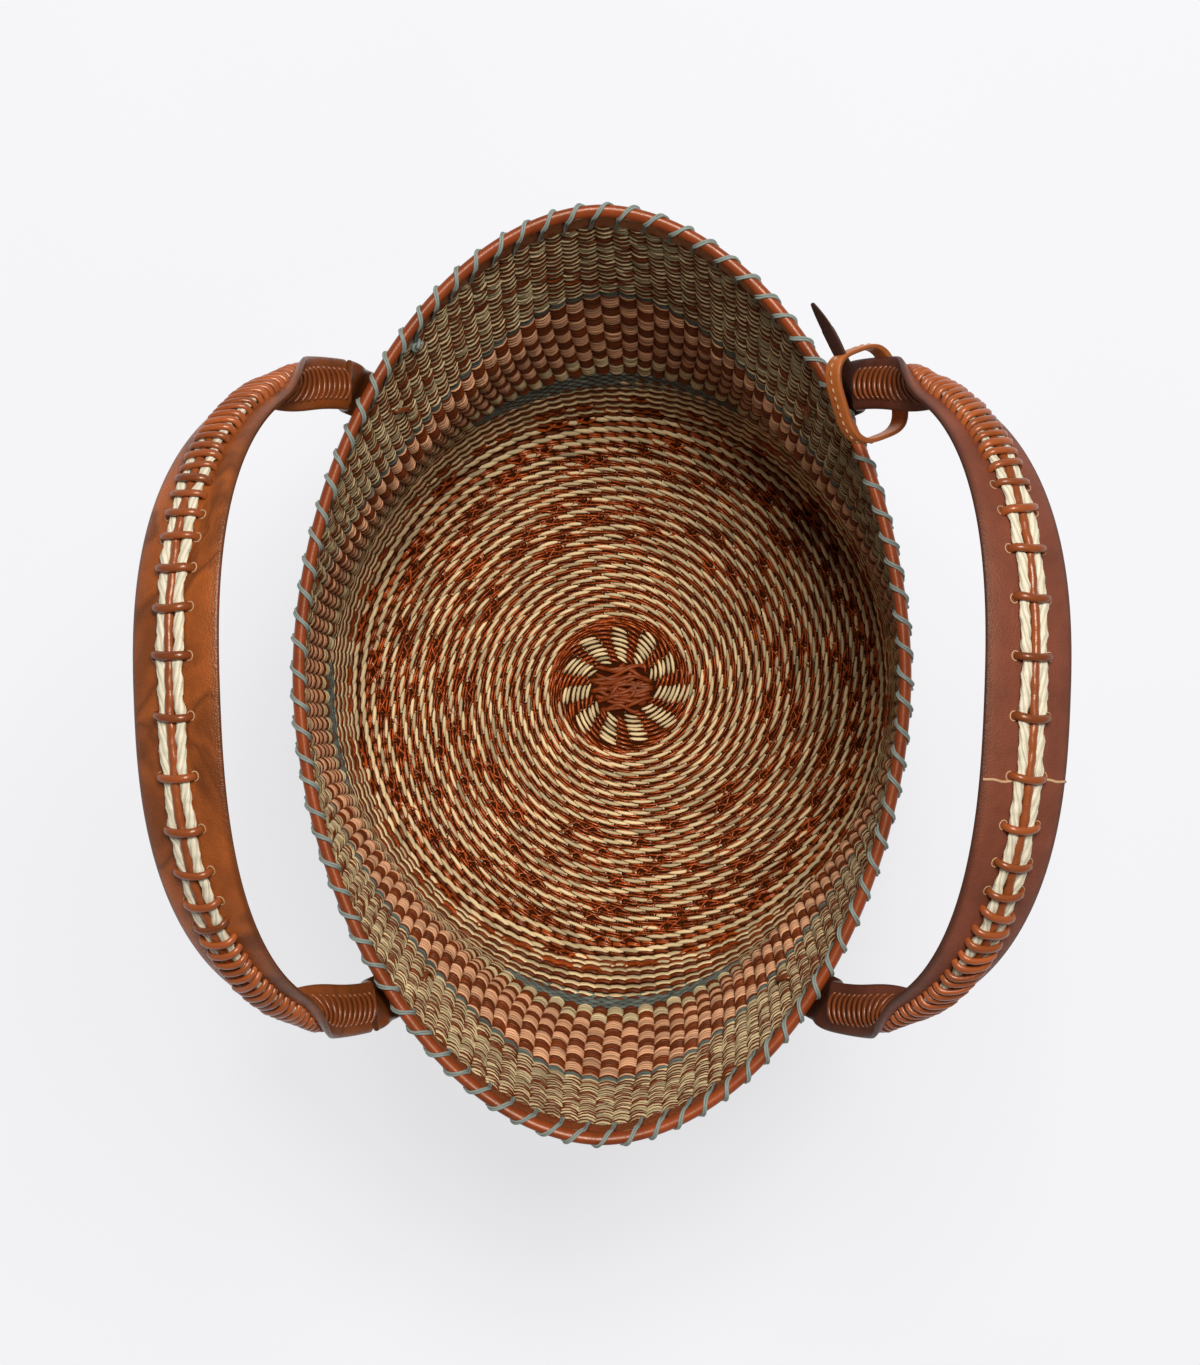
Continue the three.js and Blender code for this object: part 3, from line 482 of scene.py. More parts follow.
class Finish:
    """A material's nodes, laid out in rows of six and joined as they are made."""

    def __init__(self, name, roughness, bump_depth=0.0002):
        self.material = bpy.data.materials.new(name)
        self.material.use_nodes = True
        self.tree = self.material.node_tree
        self.shader = self.tree.nodes["Principled BSDF"]
        self.shader.inputs["Roughness"].default_value = roughness
        self.bump_depth = bump_depth
        self.made = 0

    def node(self, kind, inputs=None, **settings):
        """A node with its settings, its inputs joined to sockets or set to values."""
        made = self.tree.nodes.new(kind)
        made.location = (-1400 + 190 * (self.made % 6), 500 - 260 * (self.made // 6))
        self.made += 1
        for key, value in settings.items():
            setattr(made, key, value)
        for key, value in (inputs or {}).items():
            if isinstance(value, bpy.types.NodeSocket):
                self.tree.links.new(value, made.inputs[key])
            else:
                made.inputs[key].default_value = value
        return made

    def place(self, stretch, uv=False):
        """Object coordinates, or the strand's own, stretched before a pattern reads them."""
        if uv:
            source = self.node("ShaderNodeUVMap", uv_map="strand").outputs["UV"]
        else:
            source = self.node("ShaderNodeTexCoord").outputs["Object"]
        return self.node("ShaderNodeMapping", {"Vector": source, "Scale": stretch}).outputs[0]

    def noise(self, place, scale, detail=3.0, rough=0.55):
        """Soft clouds from 0 to 1."""
        inputs = {"Vector": place, "Scale": scale, "Detail": detail, "Roughness": rough}
        return self.node("ShaderNodeTexNoise", inputs).outputs["Fac"]

    def cells(self, place, scale):
        """Distance to the nearest of scattered points."""
        inputs = {"Vector": place, "Scale": scale}
        return self.node("ShaderNodeTexVoronoi", inputs).outputs["Distance"]

    def ramp(self, value, low, high, start=0.0, end=1.0):
        """Start at low, end at high and straight between them, held beyond."""
        inputs = {0: value, 1: low, 2: high, 3: start, 4: end}
        return self.node("ShaderNodeMapRange", inputs).outputs[0]

    def sum(self, a, b, operation="ADD"):
        """Two values added, or joined by another operation."""
        return self.node("ShaderNodeMath", {0: a, 1: b}, operation=operation).outputs[0]

    def value_of(self, attribute):
        """A value that the mesh keeps at each of its points."""
        return self.node("ShaderNodeAttribute", attribute_name=attribute).outputs["Fac"]

    def blend(self, share, first, second):
        """A share of the way from the first colour to the second."""
        made = self.node("ShaderNodeMix", data_type="RGBA")
        for key, value in ((0, share), (6, first), (7, second)):
            if isinstance(value, bpy.types.NodeSocket):
                self.tree.links.new(value, made.inputs[key])
            elif key == 0:
                made.inputs[0].default_value = value
            else:
                made.inputs[key].default_value = (*value[:3], 1)
        return made.outputs[2]

    def colour(self, socket):
        """Joins the finished colour to the shader."""
        self.tree.links.new(socket, self.shader.inputs["Base Color"])

    def roughness(self, socket):
        """Joins the finished roughness to the shader."""
        self.tree.links.new(socket, self.shader.inputs["Roughness"])

    def bump(self, socket, strength):
        """Raises the surface by a height, through its normals."""
        inputs = {"Height": socket, "Strength": strength, "Distance": self.bump_depth}
        made = self.node("ShaderNodeBump", inputs)
        self.tree.links.new(made.outputs[0], self.shader.inputs["Normal"])


def darker(colour, share):
    """A colour with each of its parts taken times the share."""
    return tuple(c * share for c in colour[:3])


def strand_finish(name, colour, roughness, gloss=0.4, streak=0.55, stripe_shade=0.5):
    """Dried leaf strand: long fibre streaks, dark lines along it where the cosine of the place across
    peaks, which are painted shade in the grooves between its strands, a slow change of tone, and a tone
    for each float, its own at random and raised on the walls and in the corner as painted shade."""
    made = Finish(name, roughness, 0.00035)
    fibre = made.noise(made.place((0.12, 2.6, 1.0), uv=True), 1.0, 3)
    slow = made.noise(made.place((60, 60, 60)), 1.0, 2)
    light = made.blend(made.ramp(fibre, 0.3, 0.72), darker(colour, streak), colour)
    toned = made.blend(made.ramp(slow, 0.35, 0.7), light, darker(colour, 1.12))
    # Painted shade: dark lines along the strand where the grooves between its strands lie, sunk in the
    # bump as well.
    wave = made.sum(made.sum(made.value_of("across"), 9.42, "MULTIPLY"), 0.0, "COSINE")
    line = made.ramp(wave, 0.55, 1.0, 0.0, stripe_shade)
    toned = made.blend(line, toned, darker(colour, 0.3))
    # Each float's tone darkens it: its own at random, raised on the wall rows and in the corner as
    # painted shade.
    tone = made.ramp(made.value_of("tone"), 0, 1, 0.0, 0.82)
    made.colour(made.blend(tone, toned, darker(colour, 0.24)))
    made.bump(made.sum(fibre, line, "SUBTRACT"), 0.6)
    made.shader.inputs["Specular IOR Level"].default_value = gloss
    made.shader.inputs["Specular Tint"].default_value = (1.0, 0.72, 0.5, 1)
    return made.material


def cord_finish(name, colour, roughness, streak=0.6, gloss=0.3, depth=0.85):
    """Twisted cord: fine fibres along the run, and painted shade that darkens the grooves between its
    plies where the attribute says.
    """
    made = Finish(name, roughness, 0.0002)
    fibre = made.noise(made.place((0.22, 3.2, 1.0), uv=True), 1.0, 4)
    light = made.blend(made.ramp(fibre, 0.32, 0.68), darker(colour, streak), colour)
    # Painted shade: the grooves between the plies are darkened towards a quarter of the colour.
    groove = made.value_of("groove")
    made.colour(made.blend(made.ramp(groove, 0.25, 1.0, 0, depth), light, darker(colour, 0.25)))
    made.bump(fibre, 0.8)
    made.shader.inputs["Specular IOR Level"].default_value = gloss
    return made.material


def leather_finish(name, colour, roughness, mottle, veins=0.0, coat=0.0, grain=0.25):
    """Leather: soft dark clouds, dark flame lines where a bent noise passes its middle value,
    fine pores and creases in the bump, and worn dark edges where the attribute says."""
    made = Finish(name, roughness, 0.0002)
    place = made.place((1, 1, 1))
    cloud = made.noise(place, 38, 4, 0.6)
    base = made.blend(made.ramp(cloud, 0.36, 0.66, 0, mottle), colour, darker(colour, 0.34))
    if veins:
        inputs = {"Vector": place, "Scale": 17, "Detail": 3, "Roughness": 0.45, "Distortion": 0.9}
        bent = made.node("ShaderNodeTexNoise", inputs).outputs["Fac"]
        away = made.sum(bent, 0.5, "SUBTRACT")
        size = made.node("ShaderNodeMath", {0: away}, operation="ABSOLUTE").outputs[0]
        line = made.ramp(size, 0.0, 0.06, veins, 0.0)
        patch = made.ramp(bent, 0.5, 0.62, 0.0, 0.8 * veins)
        base = made.blend(patch, base, darker(colour, 0.3))
        base = made.blend(line, base, darker(colour, 0.28))
    edge = made.ramp(made.value_of("edge"), 0.0, 1.0, 0.0, 0.8)
    base = made.blend(edge, base, darker(colour, 0.22))
    tone = made.ramp(made.value_of("tone"), 0.0, 1.0, 0.0, 0.85)
    made.colour(made.blend(tone, base, darker(colour, 0.3)))
    pores = made.cells(place, 1300)
    crease = made.noise(place, 320, 5, 0.75)
    made.bump(made.sum(pores, made.sum(crease, 1.6, "MULTIPLY")), grain)
    made.shader.inputs["Specular IOR Level"].default_value = 0.38
    made.shader.inputs["Specular Tint"].default_value = (1.0, 0.72, 0.52, 1)
    if coat:
        made.shader.inputs["Coat Weight"].default_value = coat
        made.shader.inputs["Coat Roughness"].default_value = 0.25
    made.roughness(made.ramp(crease, 0.3, 0.7, roughness - 0.07, roughness + 0.12))
    return made.material


STRANDS = {
    "raffia_natural": ("natural", 1.0, 0.6, 0.3, 0.75, 0.2),
    "raffia_rust": ("rust", 1.0, 0.24, 0.5, 0.4, 0.15),
    "raffia_blush": ("blush", 1.0, 0.6, 0.3, 0.75, 0.4),
    "raffia_sage": ("sage", 1.0, 0.6, 0.3, 0.6, 0.4),
    # The wall copies are the same natural and rust strands darkened as painted shade.
    "wall_natural": ("natural", 0.88, 0.6, 0.3, 0.7),
    "wall_rust": ("rust", 0.6, 0.4, 0.3, 0.4, 0.15),
    "cane": ("natural", 1.0, 0.6),
    # The core's near-black rust is painted shade in the gaps between the floats.
    "core": ("rust", 0.13, 0.8, 0.1, 0.5),
}
CORDS = {
    "cord_sage": ("sage_cord", 1.0, 0.55, 0.62),
    "cord_cream": ("cream", 1.0, 0.6, 0.62, 0.3, 0.45),
}
LEATHERS = {
    "leather_rim": ("rim_leather", 1.0, 0.32, 0.5, 0.2, 0.1, 0.2),
    "leather_front": ("front_leather", 1.0, 0.5, 0.5, 0.15, 0, 0.7),
    "leather_rear": ("rear_leather", 1.0, 0.34, 0.62, 0.9, 0.15, 0.9),
    "leather_lace": ("lace", 1.0, 0.3, 0.4, 0, 0.3, 0.25),
    "leather_tag": ("tag", 1.0, 0.42, 0.35, 0, 0.1, 0.2),
    "leather_dark": ("tongue", 1.0, 0.5, 0.4, 0, 0, 0.3),
    "cut_edge": ("cut_edge", 1.0, 0.6, 0.5),
}
FINISHES = ((strand_finish, STRANDS), (cord_finish, CORDS), (leather_finish, LEATHERS))


def finish(slot):
    """The material of one finish, made the first time that a piece asks for it: its row
    names its colour, the share of it that shows and the numbers of its maker in order."""
    name = "basket_" + slot
    if name in bpy.data.materials:
        return bpy.data.materials[name]
    for maker, table in FINISHES:
        if slot in table:
            colour, share, *numbers = table[slot]
            colour = getattr(bpy.context.scene.basket_colours, colour)
            return maker(name, darker(colour, share), *numbers)
    raise KeyError(slot)


# Settings


def colour_property(name, description, value):
    """A colour that can be picked, from 0 to 1 in each part."""
    return bpy.props.FloatVectorProperty(
        name=name, description=description, default=value, size=3, min=0, max=1, subtype="COLOR"
    )


def length_property(name, description, value):
    """A length given in millimetres and kept in metres."""
    return bpy.props.FloatProperty(
        name=name, description=description, default=value * MM, min=0.0001, unit="LENGTH"
    )


class BasketColours(bpy.types.PropertyGroup):
    """Colours of the strands, cords and leathers"""

    natural: colour_property("Natural strand", "Undyed leaf strand", (0.80, 0.60, 0.32))
    rust: colour_property("Rust strand", "Dark dyed strand", (0.45, 0.074, 0.010))
    blush: colour_property("Blush strand", "Pink dyed strand", (0.76, 0.38, 0.20))
    sage: colour_property("Sage strand", "Grey green strand of the bands", (0.125, 0.15, 0.125))
    sage_cord: colour_property("Sage cord", "Cord of the whip stitch", (0.235, 0.265, 0.225))
    cream: colour_property("Cream cord", "Cords along the handles", (0.72, 0.63, 0.45))
    cut_edge: colour_property("Cut edge", "Raw leather edges and the tag's thread", (0.46, 0.27, 0.14))
    rim_leather: colour_property("Rim leather", "Binding of the rim", (0.235, 0.042, 0.009))
    front_leather: colour_property("Front strap", "Front handle's leather", (0.18, 0.047, 0.024))
    rear_leather: colour_property("Rear strap", "Rear handle's leather", (0.36, 0.085, 0.014))
    lace: colour_property("Lace", "Lace bars and centre cord", (0.33, 0.075, 0.016))
    tag: colour_property("Tag loop", "Leather band on the handle", (0.52, 0.14, 0.03))
    tongue: colour_property("Tag tongue", "Dark flap of the tag", (0.045, 0.016, 0.012))


class BasketWeave(bpy.types.PropertyGroup):
    """Sizes of the strands of the body"""

    float_length: length_property("Float length", "Visible length of one float", 8.0)
    line_pitch: length_property("Line pitch", "Distance between two cream lines", 5.25)
    check_pitch: length_property("Check pitch", "Height of one strand in the checks", 2.8)
    bulge: length_property("Bulge", "How far a float stands off the middle of the wall", 2.1)
    wall_floats: bpy.props.IntProperty(
        name="Wall floats", description="Floats round the upper wall", default=140, min=20
    )


class BasketRim(bpy.types.PropertyGroup):
    """Sizes of the bound rim"""

    piping_radius: length_property("Piping radius", "Radius of the leather over the cane", 2.85)
    cord_ply: length_property("Ply radius", "Radius of one ply of the whip cord", 0.6)
    stitches: bpy.props.IntProperty(
        name="Stitches", description="Whip stitches round the rim", default=88, min=8
    )


class BasketLacing(bpy.types.PropertyGroup):
    """Sizes of the lacing along the handles"""

    leg_step: length_property("Step at the legs", "Distance between bars on a leg", 4.8)
    grip_step: length_property("Extra step at the grip", "Added distance at the grip", 20.0)
    rib_step: length_property("Rib step", "Distance between ribs behind a leg", 4.4)
    bar_width: length_property("Bar width", "Width of one lace bar", 3.5)


class BasketStage(bpy.types.PropertyGroup):
    """Floor, lights and camera"""

    camera_height: bpy.props.FloatProperty(
        name="Camera height", description="Height above the floor", default=1.763, unit="LENGTH"
    )
    lens: bpy.props.FloatProperty(
        name="Lens", description="Focal length", default=85, unit="CAMERA"
    )
    key_power: bpy.props.FloatProperty(
        name="Key light", description="Power of the main soft light", default=90, unit="POWER"
    )
    world: bpy.props.FloatProperty(
        name="World", description="Strength of the even light", default=0.22, subtype="FACTOR"
    )


# Body


PETALS, PETAL_ROWS, PETAL_START, PETAL_STEP, PETAL_WIDTH = 11, 8, 15.5, 2.6, 8.8
SPIRAL_START, SPIRAL_TOP = 34.5, 54
SAILS = ((78, 106, 0.011, 0.0), (114, 140, 0.009, 0.4), (146, 172, 0.01, 0.7))
SAGE_FOOT, SAGE_ROWS, SAGE_PITCH = 57.5, 6, 3.5
SAGE_PARTS = ((-0.075, 0.085), (0.235, 0.31), (0.44, 0.57), (0.925, 1.085))
CHECK_FOOT, CHECK_TOP, ROWS_IN_CHECK, NATURAL_ROWS = 79.0, 180, 4, 8
UPPER_SAGE_LINES = (181.6, 184.2)
UPPER_FOOT, UPPER_TOP, UPPER_PITCH = 187.0, 262.5, 4.4
# The last number of each row raises its tone: painted shade on the upper wall.
UPPER_ROWS = ((0, 0.92, "wall_natural", 0.22), (2.2, 0.95, "wall_rust", 0.95))
BAND_CLIMB, OUTSIDE_CREST = 10, 1.9
STAKE_LAYER_TOP, STAKE_LAYER_HALF = 273, 0.55
KNOT_STRANDS, KNOT_REACH, KNOT_SPREAD = 19, 18.0, 11.5
FLOAT_STATIONS = np.array([-1.0, -0.55, 0.0, 0.55, 1.0])
FLOAT_WIDTHS = np.array([0.45, 0.9, 1.0, 0.9, 0.45])
FACES_EACH = {
    "wide": (np.array([-1.0, -0.45, 0.45, 1.0]), np.array([0.0, 1.0, 1.0, 0.0])),
    "thin": (np.array([-1.0, 0.0, 1.0]), np.array([0.0, 1.0, 0.0])),
}


def strand_floats(name, rows, facing, kind, material):
    """Many short floats as one piece. Along a float, the width narrows to a third at its
    tucked ends and the height follows one less the square of the place along it; across it,
    a few points rise from the two edges to the crest. facing is 1 outside and -1 inside."""
    across, rise = FACES_EACH[kind]
    u = FLOAT_STATIONS[None, :, None]
    wide = FLOAT_WIDTHS[None, :, None]
    v = across[None, None, :]
    pick = {key: value[:, None, None] for key, value in rows.items()}
    share = pick["share"] + pick["half_share"] * u + 0 * v
    run = pick["run"] + pick["half_width"] * wide * v + pick["slant"] * u
    crest = pick["low"] + (pick["crest"] - pick["low"]) * (1 - u * u) + 0 * v
    lift = crest - pick["thick"] * (1 - rise[None, None, :])
    points = body_point(share, run, facing * lift)
    reach = pick["half_share"] * 2 * np.pi * np.clip(pick["run"], 10, 180)
    seed = 37.0 * pick["tone"] + 11.0 * pick["share"]
    place = (u * reach + 97 * seed, pick["half_width"] * v + 53 * seed)
    uv = np.stack(np.broadcast_arrays(*place), axis=-1)
    tone = np.broadcast_to(pick["tone"], share.shape)
    one = tube_faces(len(FLOAT_STATIONS), len(across), False)
    faces = repeated(one, len(share), len(FLOAT_STATIONS) * len(across))
    values = {"tone": tone, "across": np.broadcast_to(v, share.shape)}
    return make_piece(name, points, faces, material, uv, values)


def one_row(
    count, run, half_width, crest, slant=0.0, spiral=0.0, phase=0.0, length=1.12, thick=1.1, low=0.45
):
    """A ring of floats: equal shares of a turn, with the run growing by spiral over it. Each
    stands off the middle of the wall by crest at its middle and by low at its ends."""
    count, whole = math.ceil(count - phase), count
    share = (np.arange(count) + phase) / whole
    size = half_width * random.uniform(0.92, 1.08, count)
    return dict(
        share=share,
        run=run + spiral * share,
        half_share=np.full(count, 0.5 * length / whole),
        half_width=size,
        crest=crest * random.uniform(0.94, 1.05, count),
        slant=np.full(count, float(slant)),
        thick=np.full(count, float(thick)),
        low=np.full(count, float(low)),
        tone=np.clip(random.normal(0.3, 0.26, count), 0, 1),
    )


def chosen(row, keep):
    """The floats of a row that are kept."""
    return {key: value[keep] for key, value in row.items()}


def stacked(rows):
    """Many rows as one."""
    return {key: np.concatenate([row[key] for row in rows]) for key in rows[0]}


def band_lift(row, height):
    """The bands climb towards the far end of the basket: a cosine of the turn, full on the
    middle of the wall and gone at the floor's edge and under the rim. Where the climb spreads
    the rows, each float is made wider by as much."""
    fade, above = (smooth(h, 26, 62) * (1 - smooth(h, 186, 262)) for h in (height, height + 1))
    climb = BAND_CLIMB * (1 - np.cos(2 * np.pi * row["share"]))
    row["run"] = row["run"] + climb * fade
    row["half_width"] = row["half_width"] * (1 + climb * (above - fade))
    return row


def floor_count(run, float_length):
    """Floats in a ring of the floor: a multiple of the petals near the wished float length."""
    round_trip = 2 * np.pi * min(run, 152)
    return int(PETALS * max(2, round(round_trip / float_length / PETALS)))


def break_patch(row):
    """True where the cream line stops for a patch of rust: eleven slanted patches in each of
    three bands of radius, like the sails of a windmill."""
    spot = np.zeros(len(row["share"]), bool)
    for low, high, lean, start in SAILS:
        inside = (row["run"] > low) & (row["run"] < high)
        phase = PETALS * row["share"] + PETALS * lean * (row["run"] - low) * 0.55 + start
        spot |= inside & ((phase - np.floor(phase)) < 0.34)
    return spot & (random.random(len(spot)) < 0.9)


def floor_petals(plan, crest):
    """The flower round the floor's middle: eleven petals of stacked natural floats with rust
    ones between them, each petal a little turned and moved, then four close rings of rust."""
    both = 2 * PETALS
    turned = np.repeat(random.normal(0, 0.004, PETALS), 2)
    reach = np.repeat(random.uniform(-1.0, 1.6, PETALS), 2)
    rows = np.repeat(random.integers(6, 8, PETALS), 2)
    even = np.arange(both) % 2 == 0
    for k in range(PETAL_ROWS):
        radius = PETAL_START + PETAL_STEP * k
        row = one_row(both, radius, 1.12, crest, 1.6, 0.0, 0.0, 1.0)
        around = 2 * np.pi * radius / PETALS
        petal, between = min(PETAL_WIDTH, 0.62 * around), max(around - PETAL_WIDTH, 0.5 * around)
        long = np.where(even, petal, between)
        row["half_share"] = 0.55 * long / (2 * np.pi * radius) * random.uniform(0.85, 1.2, both)
        row["share"] = row["share"] + turned + 0.0012 * k + random.normal(0, 0.0015, both)
        wider = 3.0 * np.sin(2 * np.pi * row["share"]) ** 2
        row["run"] = row["run"] + reach + wider + random.normal(0, 0.2, both)
        plan["floor_natural"].append(chosen(row, even & (k < rows)))
        row["tone"] = np.clip(row["tone"] + 0.3, 0, 1)
        plan["floor_rust"].append(chosen(row, ~even))
    for k in range(4):
        row = one_row(3 * PETALS, 33.5 + 1.75 * k, 0.72, crest * 0.85, 0.8, 0.0, 0.3 * k, 1.3)
        row["tone"] = np.clip(row["tone"] + 0.25, 0, 1)
        plan["floor_rust"].append(row)


def crossed_patch(patch, lean, shift):
    """The floats of a patch turned by a lean, moved along by a share of their length."""
    crossed = dict(patch, half_width=0.62 * patch["half_width"])
    crossed["share"] = patch["share"] + shift * 2 * patch["half_share"]
    crossed["half_share"] = 0.7 * patch["half_share"]
    crossed["slant"] = np.full(len(patch["slant"]), lean)
    crossed["crest"] = patch["crest"] + 0.25
    return crossed


def floor_spiral(plan, weave, crest):
    """One cream line that winds out from the petals over the floor and up the lower wall,
    with rust lines between its turns and crossed rust patches where it stops."""
    float_length, pitch = weave.float_length / MM, weave.line_pitch / MM
    run, phase, height = SPIRAL_START, 0.0, 0.0
    while height < SPIRAL_TOP:
        high = smooth(run, FLOOR_RUN, FLOOR_RUN + CORNER_RUN)
        count = floor_count(run, float_length) + (0.5 if high == 0 else 0)
        height = run - run_at(0)
        grown = pitch * mix(1.0, 1.6, high)
        size, low = mix(1.16, 1.85, high), mix(0.2, 0.9, high)
        cream = one_row(count, run, size, crest, 1.15, grown, phase, 1.5, 1.1, low)
        cream["run"] = cream["run"] + random.normal(0, 0.16, len(cream["run"]))
        broken = break_patch(cream)
        kept = ~broken | (np.arange(len(broken)) % 3 == 0)
        if run == SPIRAL_START:
            kept = cream["share"] > 0.3
            broken = broken & kept
        plan["floor_natural"].append(band_lift(chosen(cream, kept), height))
        patch = chosen(cream, broken)
        for lean, shift in ((2.3, 0.25), (-2.3, -0.25)):
            plan["floor_rust"].append(band_lift(crossed_patch(patch, lean, shift), height))
        sink, size = mix(0.84, 1.06, high), mix(0.66, 1.95, high)
        for place in (2.1, 3.7) if high <= 0.5 else (2.1,):
            middle = run + mix(place, 0.5 * grown, high)
            thin = one_row(count, middle, size, crest * sink, 1.0, grown, phase, 1.3, 1.1, low - 0.2)
            # Tone spread at random, and raised by half where the floor turns up into the corner, as
            # painted shade.
            thin["tone"] = np.clip(1.7 * thin["tone"] - 0.1 + 0.5 * high, 0, 1)
            thin["share"] = thin["share"] + 0.5 * (1 - high) / count
            thin["run"] = thin["run"] + random.normal(0, 0.2, len(thin["run"]))
            plan["corner_rust" if high > 0.5 else "floor_rust"].append(band_lift(thin, height))
        phase = phase + len(cream["run"]) - count
        run += grown


def lower_band(plan, crest, n):
    """Rows of sage in four stretches whose ends taper, with natural and rust between them."""
    for k in range(SAGE_ROWS):
        height = SAGE_FOOT + SAGE_PITCH * k
        row = band_lift(one_row(n, run_at(height), 1.6, crest, 0.5, 0, 0.5 * (k % 2), 1.3), height)
        shown = np.zeros(n, bool)
        for start, end in SAGE_PARTS:
            narrow = 0.004 * abs(k - 2.5)
            shown |= (row["share"] > start + narrow) & (row["share"] < end - narrow)
        plan["sage"].append(chosen(row, shown))
        row["share"] = row["share"] - 0.5 * (k % 2) / n
        # The rust rows are darkened as painted shade on the wall.
        row["tone"] = np.clip(row["tone"] + 0.8 * (k % 2), 0, 1)
        plan["wall_natural" if k % 2 == 0 else "wall_rust"].append(chosen(row, ~shown))


def check_rows(plan, step_height, bulge, n):
    """The checks: a light float and a rust one by turns, changed over after every four rows,
    natural at the foot and blush above it."""
    height = CHECK_FOOT
    step = 0
    while height < CHECK_TOP:
        light = "wall_natural" if step < NATURAL_ROWS else "blush"
        row = one_row(n, run_at(height), 0.5 * step_height - 0.08, bulge, 0.1, 0, 0.0, 1.06, 1.6, 0.9)
        row["run"] = row["run"] + random.normal(0, 0.1, n)
        even = (np.arange(n) + step // ROWS_IN_CHECK) % 2 == 0
        plan[light].append(band_lift(chosen(row, even), height))
        rust = chosen(row, ~even)
        rust["crest"] = rust["crest"] - 0.2
        # The rust floats of the checks are darkened as painted shade.
        rust["tone"] = np.clip(rust["tone"] + 0.5, 0, 1)
        plan["wall_rust"].append(band_lift(rust, height))
        height += step_height
        step += 1


def upper_rows(plan, bulge, n):
    """Natural and rust rows by turns up to the rim, with a few floats of each swapped."""
    height = UPPER_FOOT
    while height < UPPER_TOP:
        for place, size, key, dark in UPPER_ROWS:
            row = one_row(n, run_at(height + place), size, bulge, 0.15, 0, 0.0, 1.2, 1.5, 0.9)
            row["run"] = row["run"] + random.normal(0, 0.25, n)
            row["share"] = row["share"] + random.normal(0, 0.05 / n, n)
            # dark raises the tone as painted shade.
            row["tone"] = np.clip(row["tone"] + dark, 0, 1)
            swap = random.random(n) < (0.05 if key == "wall_natural" else 0.12)
            other = "wall_rust" if key == "wall_natural" else "wall_natural"
            plan[key].append(band_lift(chosen(row, ~swap), height + place))
            plan[other].append(band_lift(chosen(row, swap), height + place))
        height += UPPER_PITCH


def weave_plan(weave):
    """All rows of floats of one side of the body, gathered by colour."""
    keys = ("floor_natural", "floor_rust", "corner_rust", "wall_natural", "wall_rust", "blush", "sage")
    plan = {key: [] for key in keys}
    crest, n = weave.bulge / MM, weave.wall_floats
    bulge = crest + 0.8
    floor_petals(plan, crest)
    floor_spiral(plan, weave, crest)
    lower_band(plan, crest, n)
    check_rows(plan, weave.check_pitch / MM, bulge, n)
    for height in UPPER_SAGE_LINES:
        row = one_row(n, run_at(height), 1.25, bulge - 0.3, 0.4, 0, 0.0, 1.15)
        plan["sage"].append(band_lift(row, height))
    upper_rows(plan, bulge, n)
    return {key: stacked(rows) for key, rows in plan.items()}


def core_shell():
    """The stakes' layer inside the weave: a thin closed shell from the floor's middle up to the rim, two
    surfaces half a millimetre off the middle of the wall. Its near-black rust is painted shade in the
    gaps between the floats."""
    share = np.linspace(0, 1, 264, endpoint=False)
    floor, wall = np.linspace(4, FLOOR_RUN, 12), np.linspace(FLOOR_RUN, run_at(STAKE_LAYER_TOP), 44)
    run = np.concatenate([floor, wall[1:]])
    lift = np.repeat([STAKE_LAYER_HALF, -STAKE_LAYER_HALF], len(run))
    run = np.concatenate([run, run[::-1]])
    points = body_point(share[:, None], run[None], lift[None])
    uv = np.stack(np.broadcast_arrays(run[None], share[:, None] * 1100), axis=-1)
    tone = np.full(points.shape[:2], 0.3)
    faces = [quads(len(share), len(run), True, True)]
    return make_piece("stake_layer", points, faces, finish("core"), uv, {"tone": tone})


def floor_disc():
    """A small closed disc that fills the stake layer's open middle, in the same near-black painted
    shade.
    """
    turn = circle(32)
    radius = np.array([0.05, 5.0, 5.0, 0.05])
    height = np.array([2.2, 2.2, 1.1, 1.1])
    x = BASE_SHIFT[0] + radius[:, None] * np.cos(turn)
    y = BASE_SHIFT[1] + radius[:, None] * np.sin(turn)
    points = np.stack([x, y, np.broadcast_to(height[:, None], x.shape)], axis=-1)
    faces = [quads(len(radius), len(turn), True, True)]
    values = {"tone": np.full(x.shape, 0.3)}
    return make_piece("floor_middle", points, faces, finish("core"), None, values)


def crossed_strands(name, facing):
    """The floor's centre: wavy strands, most of them along the basket's width, that cross at
    small angles. Each is an arch whose ends dip into the floor, with a slow sine sideways."""
    parts = []
    u = np.linspace(-1, 1, 17)
    for k in range(KNOT_STRANDS):
        turned = math.pi / 2 + (random.normal(0, 0.13) if k % 4 else random.uniform(0.35, 0.8))
        along = np.array([math.cos(turned), math.sin(turned), 0])
        across = np.array([-along[1], along[0], 0])
        lateral = mix(-KNOT_SPREAD, KNOT_SPREAD, k / (KNOT_STRANDS - 1)) * (0.6 if k % 4 == 0 else 1.0)
        half = KNOT_REACH * math.sqrt(1 - (lateral / 15.0) ** 2) * random.uniform(0.85, 1.05)
        half *= 0.65 if k % 4 == 0 else 1.0
        sway = random.uniform(0.6, 1.8) * np.sin(np.pi * (1.2 * u + random.uniform(-1, 1)))
        top = 0.8 + 1.3 * random.random() + 0.5 * np.cos(np.pi * (1.3 * u + random.uniform(-1, 1)))
        height = WALL / 2 - facing * (0.4 + top * (1 - u**4))
        if facing > 0:
            height = np.maximum(height, 1.1)
        centre = np.array([*BASE_SHIFT, 0.0])
        points = centre + (half * u)[:, None] * along + (lateral + sway)[:, None] * across
        points = points + height[:, None] * UP
        hint = np.broadcast_to(-facing * UP, points.shape)
        tone = random.uniform(0.0, 0.6)
        # The knot takes the rust copy darkened as painted shade for the walls.
        parts.append(round_cord(name, points, hint, 1.15, finish("wall_rust"), 8, flat=0.75, tone=tone))
    return join_pieces(name, parts)


